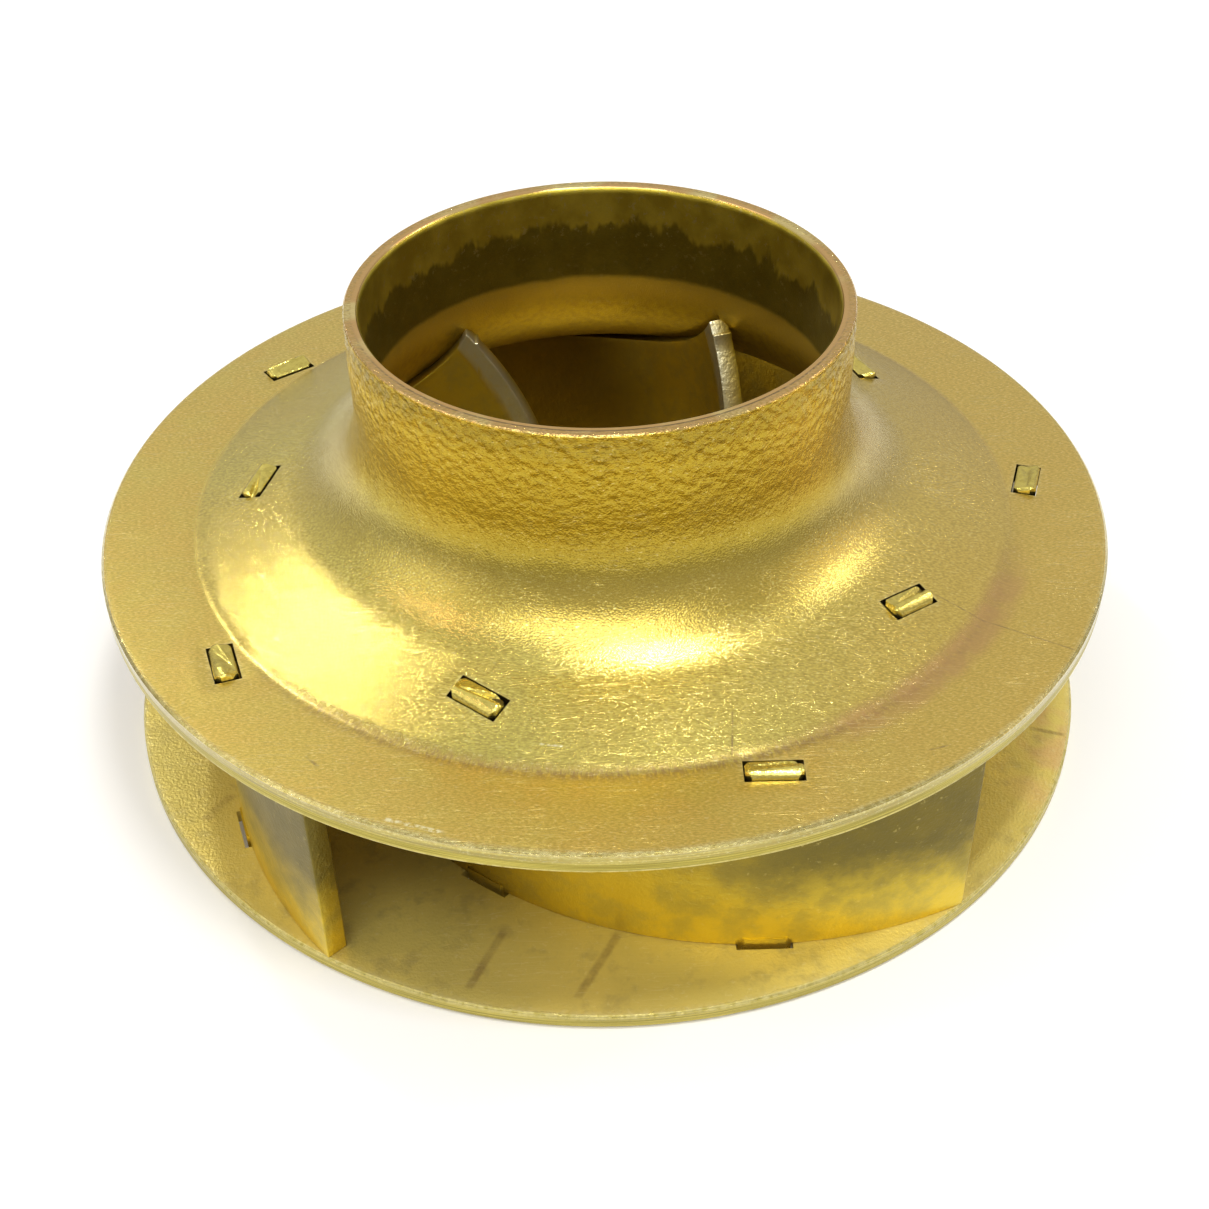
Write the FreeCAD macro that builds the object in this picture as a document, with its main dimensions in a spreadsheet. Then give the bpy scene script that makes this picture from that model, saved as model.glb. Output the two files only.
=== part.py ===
"""Closed centrifugal pump impeller, fabricated from brass sheet.

Frame: millimetres, +Z along the shaft axis towards the eye, origin on the axis at the back plate's back
face. Five rolled vanes stand between a flat back plate and a drawn front shroud. Each vane has two tabs
through each shroud. A flanged hub is riveted to the back plate and drives the whole from a keyed shaft.
"""

import FreeCAD
import Part
import math
import os

import Sketcher

VANE_COUNT = 5
PITCH = 360.0 / VANE_COUNT

# Driving dimensions, in millimetres and degrees.
SIZES = {
    "disc_diameter": 133.35,
    "back_diameter": 132.4,
    "stack_height": 30.0,
    "land_thickness": 3.0,
    "back_thickness": 2.0,
    "collar_diameter": 64.0,
    "collar_wall": 2.0,
    "collar_rise": 30.0,
    "collar_fillet": 14.5,
    "throat_fillet": 17.5,
    "crease_radius": 54.6,
    "dome_angle": 15.0,
    "edge_break": 0.3,
    "vane_thickness": 2.8,
    "vane_tip_radius": 64.8,
    "outlet_angle": 15.2,
    "outer_bend": 56.4,
    "outer_sweep": 66.0,
    "inner_bend": 31.1,
    "lead_foot_radius": 24.0,
    "lead_edge_bow": 80.0,
    "vane_gap": 0.7,
    "tab_length": 6.4,
    "outer_tab_sweep": 25.6,
    "inner_tab_sweep": 61.7,
    "slot_gap": 0.3,
    "stake_height": 0.5,
    "first_tip_angle": 23.3,
    "bore_diameter": 12.7,
    "key_width": 3.2,
    "key_depth": 1.6,
    "hub_diameter": 25.0,
    "hub_length": 22.0,
    "hub_chamfer": 1.0,
    "hub_fit": 0.05,
    "flange_diameter": 40.0,
    "flange_thickness": 3.0,
    "rivet_diameter": 4.0,
    "rivet_circle": 32.5,
    "rivet_head_diameter": 6.4,
    "rivet_head_height": 1.6,
    "rivet_sink_diameter": 6.0,
    "rivet_fit": 0.05,
}

# Places worked out from the driving dimensions, each an expression over the sheet and earlier places.
# The vane's middle line runs in its own frame: the tip on +X, then an arc about (bend_a_x, bend_a_y), then
# a tangent arc about (bend_b_x, bend_b_y). That arc ends at its nearest point to the shaft axis.
LAYOUT = {
    "disc_radius": "Sizes.disc_diameter / 2",
    "back_radius": "Sizes.back_diameter / 2",
    "land_top": "Sizes.stack_height",
    "land_under": "land_top - Sizes.land_thickness",
    "rim_top": "land_top + Sizes.collar_rise",
    "collar_radius": "Sizes.collar_diameter / 2",
    "throat_radius": "collar_radius - Sizes.collar_wall",
    "dome_slope": "tan(Sizes.dome_angle)",
    "crease_under": "Sizes.crease_radius - Sizes.land_thickness * tan(Sizes.dome_angle / 2)",
    "fillet_x": "collar_radius + Sizes.collar_fillet",
    "fillet_z": "land_top + dome_slope * (Sizes.crease_radius - fillet_x)"
                " + Sizes.collar_fillet / cos(Sizes.dome_angle)",
    "fillet_end_x": "fillet_x - Sizes.collar_fillet * sin(Sizes.dome_angle)",
    "fillet_end_z": "fillet_z - Sizes.collar_fillet * cos(Sizes.dome_angle)",
    "throat_x": "throat_radius + Sizes.throat_fillet",
    "throat_z": "land_under + dome_slope * (crease_under - throat_x)"
                " + Sizes.throat_fillet / cos(Sizes.dome_angle)",
    "throat_end_x": "throat_x - Sizes.throat_fillet * sin(Sizes.dome_angle)",
    "throat_end_z": "throat_z - Sizes.throat_fillet * cos(Sizes.dome_angle)",
    "face_out": "Sizes.vane_thickness / 2",
    "bend_a_x": "Sizes.vane_tip_radius - Sizes.outer_bend * cos(Sizes.outlet_angle)",
    "bend_a_y": "Sizes.outer_bend * sin(Sizes.outlet_angle)",
    "joint_angle": "Sizes.outlet_angle + Sizes.outer_sweep",
    "bend_b_x": "bend_a_x + (Sizes.outer_bend - Sizes.inner_bend) * cos(joint_angle)",
    "bend_b_y": "bend_a_y - (Sizes.outer_bend - Sizes.inner_bend) * sin(joint_angle)",
    "end_angle": "180 + atan(-bend_b_y / bend_b_x) / 1 deg",
    "tab_half": "Sizes.tab_length / 2 / Sizes.outer_bend * 180 / pi",
    "outer_tab_angle": "Sizes.outlet_angle + Sizes.outer_tab_sweep",
    "inner_tab_angle": "Sizes.outlet_angle + Sizes.inner_tab_sweep",
    "inner_tab_x": "bend_a_x + Sizes.outer_bend * cos(inner_tab_angle)",
    "inner_tab_y": "bend_a_y - Sizes.outer_bend * sin(inner_tab_angle)",
    "outer_tab_x": "bend_a_x + Sizes.outer_bend * cos(outer_tab_angle)",
    "outer_tab_y": "bend_a_y - Sizes.outer_bend * sin(outer_tab_angle)",
    "outer_tab_rise": "dome_slope * max(0; Sizes.crease_radius - sqrt(outer_tab_x ^ 2 + outer_tab_y ^ 2))",
    "inner_tab_rise": "dome_slope * max(0; Sizes.crease_radius - sqrt(inner_tab_x ^ 2 + inner_tab_y ^ 2))",
    "outer_tab_top": "land_top + outer_tab_rise + Sizes.stake_height",
    "inner_tab_top": "land_top + inner_tab_rise + Sizes.stake_height",
    "lip_radius": "Sizes.throat_fillet + Sizes.vane_gap",
    "bore_radius": "Sizes.bore_diameter / 2",
    "hub_radius": "Sizes.hub_diameter / 2",
    "flange_radius": "Sizes.flange_diameter / 2",
    "flange_top": "Sizes.back_thickness + Sizes.flange_thickness",
    "rivet_radius": "Sizes.rivet_diameter / 2",
}

# The vane's top edge follows the throat at these angles below the throat fillet's horizontal, from the
# leading corner down to the dome.
LIP_CORNER = "19.5"
LIP_KNEE = "47"

doc = FreeCAD.newDocument("Impeller")


def make_sheet():
    """The spreadsheet of driving dimensions, one aliased cell each."""
    sheet = doc.addObject("Spreadsheet::Sheet", "Sizes")
    for row, (alias, value) in enumerate(SIZES.items(), start=1):
        sheet.set(f"A{row}", alias)
        sheet.set(f"B{row}", str(value))
        sheet.setAlias(f"B{row}", alias)
    doc.recompute()
    return sheet


def make_layout():
    """The set of derived places, each bound to the sheet."""
    layout = doc.addObject("App::VarSet", "Layout")
    for name, formula in LAYOUT.items():
        layout.addProperty("App::PropertyFloat", name, "Layout")
        layout.setExpression(name, formula)
        doc.recompute()
    return layout


sheet = make_sheet()
layout = make_layout()


def value(formula):
    """The number that an expression gives now."""
    return float(layout.evalExpression(formula))


def origin_plane(body, role):
    """One of a body's own origin planes or axes, found by its role."""
    return next(feature for feature in body.Origin.OriginFeatures if feature.Role == role)


def make_body(name, angle="0"):
    """An empty body turned about the shaft axis by an angle in degrees."""
    body = doc.addObject("PartDesign::Body", name)
    body.Label = name
    turn = FreeCAD.Rotation(FreeCAD.Vector(0, 0, 1), value(angle))
    body.Placement = FreeCAD.Placement(FreeCAD.Vector(), turn)
    body.setExpression("Placement.Rotation.Angle", f"({angle}) * 1 deg")
    return body


def make_sketch(body, name, role, height="0"):
    """A sketch on one of the body's origin planes, lifted along the plane's normal."""
    sketch = body.newObject("Sketcher::SketchObject", name)
    sketch.AttachmentSupport = (origin_plane(body, role), [""])
    sketch.MapMode = "FlatFace"
    sketch.setExpression("AttachmentOffset.Base.z", height)
    return sketch


def pin_point(sketch, geometry, end, across, along):
    """Hold one end of a sketch edge at a place given by two expressions."""
    for kind, formula in (("DistanceX", across), ("DistanceY", along)):
        index = sketch.addConstraint(Sketcher.Constraint(kind, -1, 1, geometry, end, value(formula)))
        sketch.setExpression(f"Constraints[{index}]", formula)


def add_arc(sketch, start, finish, centre, radius):
    """The short arc between two points. Returns its index, then its ends in the order asked for."""
    angles = [math.atan2(p.y - centre.y, p.x - centre.x) for p in (start, finish)]
    turn = (angles[1] - angles[0]) % math.tau
    forward = turn < math.pi
    low, high = angles if forward else angles[::-1]
    circle = Part.Circle(centre, FreeCAD.Vector(0, 0, 1), radius)
    index = sketch.addGeometry(Part.ArcOfCircle(circle, low, low + min(turn, math.tau - turn)), False)
    return index, (1, 2) if forward else (2, 1)


def draw_outline(sketch, corners):
    """A closed outline. Each corner is (across, along) or (across, along, radius, centre across, centre
    along), where the last three make the edge that leaves the corner an arc."""
    places = [FreeCAD.Vector(value(c[0]), value(c[1]), 0) for c in corners]
    edges = []
    for number, corner in enumerate(corners):
        start = places[number]
        finish = places[(number + 1) % len(corners)]
        if len(corner) == 2:
            index = sketch.addGeometry(Part.LineSegment(start, finish), False)
            ends = (1, 2)
        else:
            centre = FreeCAD.Vector(value(corner[3]), value(corner[4]), 0)
            index, ends = add_arc(sketch, start, finish, centre, value(corner[2]))
            radius = sketch.addConstraint(Sketcher.Constraint("Radius", index, value(corner[2])))
            sketch.setExpression(f"Constraints[{radius}]", corner[2])
        edges.append((index, ends))
    for number, (index, ends) in enumerate(edges):
        after, after_ends = edges[(number + 1) % len(edges)]
        sketch.addConstraint(Sketcher.Constraint("Coincident", index, ends[1], after, after_ends[0]))
        pin_point(sketch, index, ends[0], corners[number][0], corners[number][1])


def draw_circle(sketch, across, along, radius):
    """A full circle held at its centre."""
    centre = FreeCAD.Vector(value(across), value(along), 0)
    index = sketch.addGeometry(Part.Circle(centre, FreeCAD.Vector(0, 0, 1), value(radius)), False)
    pin_point(sketch, index, 3, across, along)
    size = sketch.addConstraint(Sketcher.Constraint("Radius", index, value(radius)))
    sketch.setExpression(f"Constraints[{size}]", radius)


def revolve(body, name, corners, kind="PartDesign::Revolution"):
    """A full turn of an (r, z) outline about the shaft axis, added or cut."""
    sketch = make_sketch(body, f"{name}_profile", "XZ_Plane")
    draw_outline(sketch, corners)
    feature = body.newObject(kind, name)
    feature.Profile = sketch
    feature.ReferenceAxis = (sketch, ["V_Axis"])
    feature.Angle = 360.0
    return feature


def pad(body, name, corners, bottom, top):
    """A straight pad of an (x, y) outline from one height to another."""
    sketch = make_sketch(body, f"{name}_outline", "XY_Plane", bottom)
    draw_outline(sketch, corners)
    feature = body.newObject("PartDesign::Pad", name)
    feature.Profile = sketch
    feature.setExpression("Length", f"({top}) - ({bottom})")
    return feature


def cut_down(body, name, sketch):
    """A pocket straight down through everything below the sketch. It must take material away."""
    doc.recompute()
    before = body.Shape.Volume
    feature = body.newObject("PartDesign::Pocket", name)
    feature.Profile = sketch
    feature.Type = "ThroughAll"
    doc.recompute()
    if not body.Shape.Volume < before:
        raise RuntimeError(f"{name} cuts nothing")
    return feature


def repeat_round(body, name, features):
    """Repeat features about the shaft axis, one for each vane."""
    pattern = body.newObject("PartDesign::PolarPattern", name)
    pattern.Originals = features
    pattern.Axis = (origin_plane(body, "Z_Axis"), [""])
    pattern.Angle = 360.0
    pattern.Occurrences = VANE_COUNT
    body.Tip = pattern
    doc.recompute()


def slot_outline(tab):
    """A tab's slot with its clearance. The long side lies along the vane's middle line at the tab."""
    turn = f"Layout.{tab}_tab_angle"
    half_long = "(Sizes.tab_length / 2 + Sizes.slot_gap)"
    half_wide = "(Layout.face_out + Sizes.slot_gap)"
    corners = []
    for wide, long in ((1, 1), (-1, 1), (-1, -1), (1, -1)):
        out = f"{wide} * {half_wide}"
        on = f"{long} * {half_long}"
        across = f"Layout.{tab}_tab_x + {out} * cos({turn}) + {on} * sin({turn})"
        along = f"Layout.{tab}_tab_y - {out} * sin({turn}) + {on} * cos({turn})"
        corners.append((across, along))
    return corners


def cut_slots(body, height):
    """Both slots of every vane, cut down from a height."""
    cuts = []
    for tab in ("outer", "inner"):
        sketch = make_sketch(body, f"{body.Name}_{tab}_slot", "XY_Plane", height)
        draw_outline(sketch, slot_outline(tab))
        cuts.append(cut_down(body, f"{body.Name}_{tab}_slot_cut", sketch))
    repeat_round(body, f"{body.Name}_slots", cuts)


def cut_rivet_holes(body, height):
    """The rivets' clearance holes, cut down from a height."""
    sketch = make_sketch(body, f"{body.Name}_rivet_hole", "XY_Plane", height)
    draw_circle(sketch, "Sizes.rivet_circle / 2", "0", "Layout.rivet_radius + Sizes.rivet_fit")
    cut = cut_down(body, f"{body.Name}_rivet_hole_cut", sketch)
    repeat_round(body, f"{body.Name}_rivet_holes", [cut])


def make_front_shroud():
    """Land, dome, fillet and eye collar, drawn from one sheet, with the vanes' slots."""
    body = make_body("front_shroud", "Sizes.first_tip_angle")
    collar_arc = ("Sizes.collar_fillet", "Layout.fillet_x", "Layout.fillet_z")
    throat_arc = ("Sizes.throat_fillet", "Layout.throat_x", "Layout.throat_z")
    corners = [
        ("Layout.throat_radius", "Layout.rim_top - Sizes.edge_break"),
        ("Layout.throat_radius + Sizes.edge_break", "Layout.rim_top"),
        ("Layout.collar_radius - Sizes.edge_break", "Layout.rim_top"),
        ("Layout.collar_radius", "Layout.rim_top - Sizes.edge_break"),
        ("Layout.collar_radius", "Layout.fillet_z", *collar_arc),
        ("Layout.fillet_end_x", "Layout.fillet_end_z"),
        ("Sizes.crease_radius", "Layout.land_top"),
        ("Layout.disc_radius - Sizes.edge_break", "Layout.land_top"),
        ("Layout.disc_radius", "Layout.land_top - Sizes.edge_break"),
        ("Layout.disc_radius", "Layout.land_under + Sizes.edge_break"),
        ("Layout.disc_radius - Sizes.edge_break", "Layout.land_under"),
        ("Layout.crease_under", "Layout.land_under"),
        ("Layout.throat_end_x", "Layout.throat_end_z", *throat_arc),
        ("Layout.throat_radius", "Layout.throat_z"),
    ]
    revolve(body, "shroud_blank", corners)
    cut_slots(body, "Layout.rim_top")
    return body


def make_back_plate():
    """Flat disc with the vanes' slots, the hub's hole and the rivets' countersunk holes."""
    body = make_body("back_plate", "Sizes.first_tip_angle")
    hole = "Layout.hub_radius + Sizes.hub_fit"
    corners = [
        (hole, "0"),
        ("Layout.back_radius - Sizes.edge_break", "0"),
        ("Layout.back_radius", "Sizes.edge_break"),
        ("Layout.back_radius", "Sizes.back_thickness - Sizes.edge_break"),
        ("Layout.back_radius - Sizes.edge_break", "Sizes.back_thickness"),
        (hole, "Sizes.back_thickness"),
    ]
    revolve(body, "plate_blank", corners)
    cut_slots(body, "Sizes.back_thickness")
    cut_rivet_holes(body, "Sizes.back_thickness")
    return body


def arc_point(centre, radius, angle):
    """A point on one of the vane's bends, at an angle below the bend's +X."""
    across = f"Layout.{centre}_x + ({radius}) * cos({angle})"
    along = f"Layout.{centre}_y - ({radius}) * sin({angle})"
    return across, along


def bend_edge(centre, radius, angle):
    """A corner that starts an arc about one of the vane's bends."""
    return (*arc_point(centre, radius, angle), radius, f"Layout.{centre}_x", f"Layout.{centre}_y")


def vane_strip():
    """The plan of the rolled strip: two tangent bends, square-cut ends."""
    outer_face = "Sizes.outer_bend + Layout.face_out"
    inner_face = "Sizes.outer_bend - Layout.face_out"
    tail_outer = "Sizes.inner_bend + Layout.face_out"
    tail_inner = "Sizes.inner_bend - Layout.face_out"
    return [
        bend_edge("bend_a", outer_face, "Sizes.outlet_angle"),
        bend_edge("bend_b", tail_outer, "Layout.joint_angle"),
        arc_point("bend_b", tail_outer, "Layout.end_angle"),
        bend_edge("bend_b", tail_inner, "Layout.end_angle"),
        bend_edge("bend_a", inner_face, "Layout.joint_angle"),
        arc_point("bend_a", inner_face, "Sizes.outlet_angle"),
    ]


def tab_strip(tab):
    """The plan of one tab, a short length of the strip."""
    outer_face = "Sizes.outer_bend + Layout.face_out"
    inner_face = "Sizes.outer_bend - Layout.face_out"
    near = f"Layout.{tab}_tab_angle - Layout.tab_half"
    far = f"Layout.{tab}_tab_angle + Layout.tab_half"
    return [
        bend_edge("bend_a", outer_face, near),
        arc_point("bend_a", outer_face, far),
        bend_edge("bend_a", inner_face, far),
        arc_point("bend_a", inner_face, near),
    ]


def lip_point(angle):
    """A point in (r, z) that keeps the vane's gap below the throat fillet."""
    across = f"Layout.throat_x - Layout.lip_radius * cos({angle})"
    along = f"Layout.throat_z - Layout.lip_radius * sin({angle})"
    return across, along


def lead_centre():
    """Centre of the bowed leading edge, on the shroud's side of the line from its corner to its foot."""
    corner_r, corner_z = lip_point(LIP_CORNER)
    foot_r = "Sizes.lead_foot_radius"
    foot_z = "Sizes.back_thickness"
    span = f"sqrt((({corner_r}) - {foot_r}) ^ 2 + (({corner_z}) - {foot_z}) ^ 2)"
    reach = f"sqrt(Sizes.lead_edge_bow ^ 2 - ({span} / 2) ^ 2) / {span}"
    across = f"(({corner_r}) + {foot_r}) / 2 + {reach} * (({corner_z}) - {foot_z})"
    along = f"(({corner_z}) + {foot_z}) / 2 - {reach} * (({corner_r}) - {foot_r})"
    return across, along


def make_vane(number):
    """One vane: the strip trimmed to the shroud's underside and the leading edge, then its tabs."""
    name = f"vane_{number + 1}"
    body = make_body(name, f"Sizes.first_tip_angle + {number * PITCH}")
    corner = lip_point(LIP_CORNER)
    knee = lip_point(LIP_KNEE)
    dome = lip_point("90 - Sizes.dome_angle")
    pad(body, f"{name}_strip", vane_strip(), "Sizes.back_thickness", f"{corner[1]} + Sizes.vane_gap")
    doc.recompute()
    before = body.Shape.Volume
    outside = "Layout.disc_radius + Sizes.vane_thickness"
    trim = [
        (outside, "Layout.land_under"),
        ("Layout.crease_under", "Layout.land_under"),
        dome,
        knee,
        (*corner, "Sizes.lead_edge_bow", *lead_centre()),
        ("Sizes.lead_foot_radius", "Sizes.back_thickness"),
        ("Sizes.lead_foot_radius", "0"),
        ("0", "0"),
        ("0", "Layout.rim_top"),
        (outside, "Layout.rim_top"),
    ]
    revolve(body, f"{name}_trim", trim, "PartDesign::Groove")
    doc.recompute()
    if not body.Shape.Volume < before:
        raise RuntimeError(f"{name}_trim cuts nothing")
    for tab in ("outer", "inner"):
        pad(body, f"{name}_{tab}_tab", tab_strip(tab), "0", f"Layout.{tab}_tab_top")
    return body


def make_hub():
    """Turned hub: a spigot through the plate, a flange on it and a barrel, bored and keyed."""
    body = make_body("hub", "Sizes.first_tip_angle")
    corners = [
        ("Layout.bore_radius", "0"),
        ("Layout.hub_radius", "0"),
        ("Layout.hub_radius", "Sizes.back_thickness"),
        ("Layout.flange_radius", "Sizes.back_thickness"),
        ("Layout.flange_radius", "Layout.flange_top - Sizes.edge_break"),
        ("Layout.flange_radius - Sizes.edge_break", "Layout.flange_top"),
        ("Layout.hub_radius", "Layout.flange_top"),
        ("Layout.hub_radius", "Sizes.hub_length - Sizes.hub_chamfer"),
        ("Layout.hub_radius - Sizes.hub_chamfer", "Sizes.hub_length"),
        ("Layout.bore_radius", "Sizes.hub_length"),
    ]
    revolve(body, "hub_blank", corners)
    half = "Sizes.key_width / 2"
    reach = "Layout.bore_radius + Sizes.key_depth"
    keyway = make_sketch(body, "keyway", "XY_Plane", "Sizes.hub_length")
    draw_outline(keyway, [("0", f"-{half}"), (reach, f"-{half}"), (reach, half), ("0", half)])
    cut_down(body, "keyway_cut", keyway)
    cut_rivet_holes(body, "Layout.flange_top")
    return body


def make_rivet_solid(kind, name, number, bottom, **sizes):
    """One cylinder or cone of a rivet, on the rivets' circle."""
    solid = doc.addObject(kind, name)
    angle = f"(Sizes.first_tip_angle + {number * PITCH})"
    for prop, formula in sizes.items():
        solid.setExpression(prop, formula)
    solid.setExpression("Placement.Base.x", f"Sizes.rivet_circle / 2 * cos{angle}")
    solid.setExpression("Placement.Base.y", f"Sizes.rivet_circle / 2 * sin{angle}")
    solid.setExpression("Placement.Base.z", bottom)
    return solid


def make_rivet(number):
    """A rivet with a coned head on the flange and a closing head sunk flush in the back face."""
    name = f"rivet_{number + 1}"
    sink_depth = "((Sizes.rivet_sink_diameter - Sizes.rivet_diameter) / 2)"
    shank = make_rivet_solid("Part::Cylinder", f"{name}_shank", number, "0",
                             Radius="Layout.rivet_radius", Height="Layout.flange_top")
    head = make_rivet_solid("Part::Cone", f"{name}_head", number, "Layout.flange_top",
                            Radius1="Sizes.rivet_head_diameter / 2", Radius2="Layout.rivet_radius",
                            Height="Sizes.rivet_head_height")
    foot = make_rivet_solid("Part::Cone", f"{name}_foot", number, "0",
                            Radius1="Sizes.rivet_sink_diameter / 2", Radius2="Layout.rivet_radius",
                            Height=sink_depth)
    rivet = doc.addObject("Part::MultiFuse", name)
    rivet.Shapes = [shank, head, foot]
    rivet.Refine = True
    return rivet


def make_rivets():
    """All the hub's rivets, as separate solids of one sub-part."""
    group = doc.addObject("Part::Compound", "hub_rivets")
    group.Label = "hub_rivets"
    group.Links = [make_rivet(number) for number in range(VANE_COUNT)]
    return group


def sink_holes(plate):
    """The back plate with a countersink round each rivet hole, in its back face."""
    fit = "Sizes.rivet_fit"
    cones = []
    for number in range(VANE_COUNT):
        cone = make_rivet_solid("Part::Cone", f"sink_{number + 1}", number, "0",
                                Radius1=f"Sizes.rivet_sink_diameter / 2 + {fit}",
                                Radius2=f"Layout.rivet_radius + {fit}",
                                Height="(Sizes.rivet_sink_diameter - Sizes.rivet_diameter) / 2")
        cones.append(cone)
    tool = doc.addObject("Part::MultiFuse", "sinks")
    tool.Shapes = cones
    result = doc.addObject("Part::Cut", "back_plate_sunk")
    result.Base = plate
    result.Tool = tool
    plate.Label = "back_plate_blank"
    result.Label = "back_plate"
    return result


def check_document():
    """Stop if any object of the document failed."""
    for item in doc.Objects:
        bad = {"Invalid", "Error"} & set(item.State)
        if bad:
            raise RuntimeError(f"{item.Name}: {item.State}")


def write_parts(parts):
    """Check each sub-part's shape, then write one STEP file per sub-part."""
    for part in parts:
        if part.Shape.isNull() or not part.Shape.isValid():
            raise RuntimeError(f"{part.Label} has no valid shape")
    os.makedirs("parts", exist_ok=True)
    for part in parts:
        part.Shape.exportStep(f"parts/{part.Label}.step")
        print(part.Label, len(part.Shape.Solids), "solids", round(part.Shape.Volume), "mm3")


parts = [make_front_shroud(), sink_holes(make_back_plate())]
parts += [make_vane(number) for number in range(VANE_COUNT)]
parts += [make_hub(), make_rivets()]
doc.recompute()
check_document()
write_parts(parts)
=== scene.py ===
import math

import bmesh
import bpy
import numpy as np
from mathutils import Matrix, Vector


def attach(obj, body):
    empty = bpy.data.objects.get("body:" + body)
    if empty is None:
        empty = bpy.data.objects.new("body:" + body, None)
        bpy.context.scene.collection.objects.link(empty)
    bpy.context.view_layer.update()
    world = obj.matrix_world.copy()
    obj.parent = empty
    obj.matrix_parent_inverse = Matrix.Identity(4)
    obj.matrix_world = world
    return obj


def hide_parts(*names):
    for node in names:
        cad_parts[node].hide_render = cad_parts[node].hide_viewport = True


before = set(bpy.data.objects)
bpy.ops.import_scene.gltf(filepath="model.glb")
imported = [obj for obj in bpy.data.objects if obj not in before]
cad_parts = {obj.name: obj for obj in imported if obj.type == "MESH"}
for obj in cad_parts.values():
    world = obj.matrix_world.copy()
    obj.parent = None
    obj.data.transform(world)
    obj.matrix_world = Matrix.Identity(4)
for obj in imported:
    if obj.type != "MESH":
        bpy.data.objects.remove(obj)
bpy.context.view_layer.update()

MM = 0.001
TAU = 2 * math.pi

# The camera, fitted to the photo: millimetres of lens, metres, degrees.
LENS = 51.94
SENSOR = 36.0
CAMERA_AT = (0.0, -0.19350, 0.16692)
CAMERA_DOWN, CAMERA_YAW, CAMERA_ROLL = 39.02, -0.038, -1.101
FLOOR_DROP = 0.0002     # metres below the object
LAMP_AIM = 0.03         # height in metres at which the lamps point

# Sizes in millimetres, the same as the CAD's.
DISC_R = 66.675
BACK_R = 66.2
LAND_Z = 30.0
LAND_T = 3.0
PLATE_T = 2.0
RIM_Z = 60.0
COLLAR_R = 32.0
THROAT_R = 30.0
COLLAR_FILLET = 14.5
THROAT_FILLET = 17.5
CREASE_R = 54.6
DOME = math.radians(15.0)
VANE_T = 2.8
TIP_R = 64.8
OUTLET = math.radians(15.2)
BEND_A = 56.4
SWEEP_A = math.radians(66.0)
BEND_B = 31.1
FOOT_R = 24.0
BOW = 80.0
FIRST = math.radians(23.3)
PITCH = TAU / 5
TAB_L = 6.4
TAB_ANGLE = {"outer": OUTLET + math.radians(25.6), "inner": OUTLET + math.radians(61.7)}
SLOT_GAP = 0.25
HUB_R = 12.5
BORE_R = 6.35
HUB_L = 22.0
FLANGE_R = 20.0
FLANGE_TOP = 5.0
RIVET_CIRCLE_R = 16.25
RIVET_R = 2.0
KEY_HALF_WIDTH = 1.6
KEY_DEPTH = 1.6

# Sizes in millimetres that only the visible model has.
WALL_INSET = 0.02       # the turned rim stays this far inside the CAD's
RIM_START = 66.2        # radius from which that holds
PLATE_SLOT_EXTRA = 0.4  # more room in the back plate's slots, on the vane's outer side
VANE_GAP = 0.25         # between a vane's top edge and the shroud
VANE_BEVEL = 0.32
LEAD_R = 18.2           # the vane's top corner, from the throat fillet's centre
LEAD_TURN = math.radians(19.5)
HEAD_PROUD = 0.90       # a staked head above the sheet
HEAD_END = 0.12         # how far a head is spread past its tab, at the ends and on the near side
HEAD_SIDE = 0.20
HEAD_ROOT = 0.40        # depth below the sheet at which the spread is over
HOLE_ROOM = 0.05
SINK_R = 3.55
RIVET_HEAD = 1.6

UNDER_Z = LAND_Z - LAND_T
FILLET_X = COLLAR_R + COLLAR_FILLET
FILLET_Z = LAND_Z + math.tan(DOME) * (CREASE_R - FILLET_X) + COLLAR_FILLET / math.cos(DOME)
CREASE_UNDER = CREASE_R - LAND_T * math.tan(DOME / 2)
THROAT_X = THROAT_R + THROAT_FILLET
THROAT_Z = UNDER_Z + math.tan(DOME) * (CREASE_UNDER - THROAT_X) + THROAT_FILLET / math.cos(DOME)


# ---- numbers

def smooth(x, low, high):
    """0 below low, 1 above high, smooth between. low may be above high."""
    t = np.clip((np.asarray(x, float) - low) / (high - low), 0, 1)
    return t * t * (3 - 2 * t)


def hashed(ix, iy, iz, seed):
    """A fixed pseudo-random number from -1 to 1 for each lattice point."""
    h = (ix * 374761393 + iy * 668265263 + iz * 1442695041 + seed * 974634777) & 0xFFFFFFFF
    h = ((h ^ (h >> 13)) * 1274126177) & 0xFFFFFFFF
    h = ((h ^ (h >> 16)) * 2246822519) & 0xFFFFFFFF
    return (h ^ (h >> 15)) / 2147483648.0 - 1.0


def noise(points, size, seed=0, octaves=1):
    """Smooth value noise from about -1 to 1 at points (n, 3), with features of that size."""
    total = np.zeros(len(points))
    weight = 1.0
    scale = 1.0 / size
    for octave in range(octaves):
        q = points * scale + 37.7
        base = np.floor(q)
        f = q - base
        f = f * f * (3 - 2 * f)
        i = base.astype(np.int64)
        for dx in (0, 1):
            wx = f[:, 0] if dx else 1 - f[:, 0]
            for dy in (0, 1):
                wy = f[:, 1] if dy else 1 - f[:, 1]
                for dz in (0, 1):
                    wz = f[:, 2] if dz else 1 - f[:, 2]
                    total += weight * wx * wy * wz * hashed(i[:, 0] + dx, i[:, 1] + dy, i[:, 2] + dz,
                                                            seed + octave * 17)
        weight *= 0.5
        scale *= 2.03
    return total


def polar(points):
    """(radius, angle) of points (n, 3) about the shaft axis."""
    return np.hypot(points[:, 0], points[:, 1]), np.arctan2(points[:, 1], points[:, 0])


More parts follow.
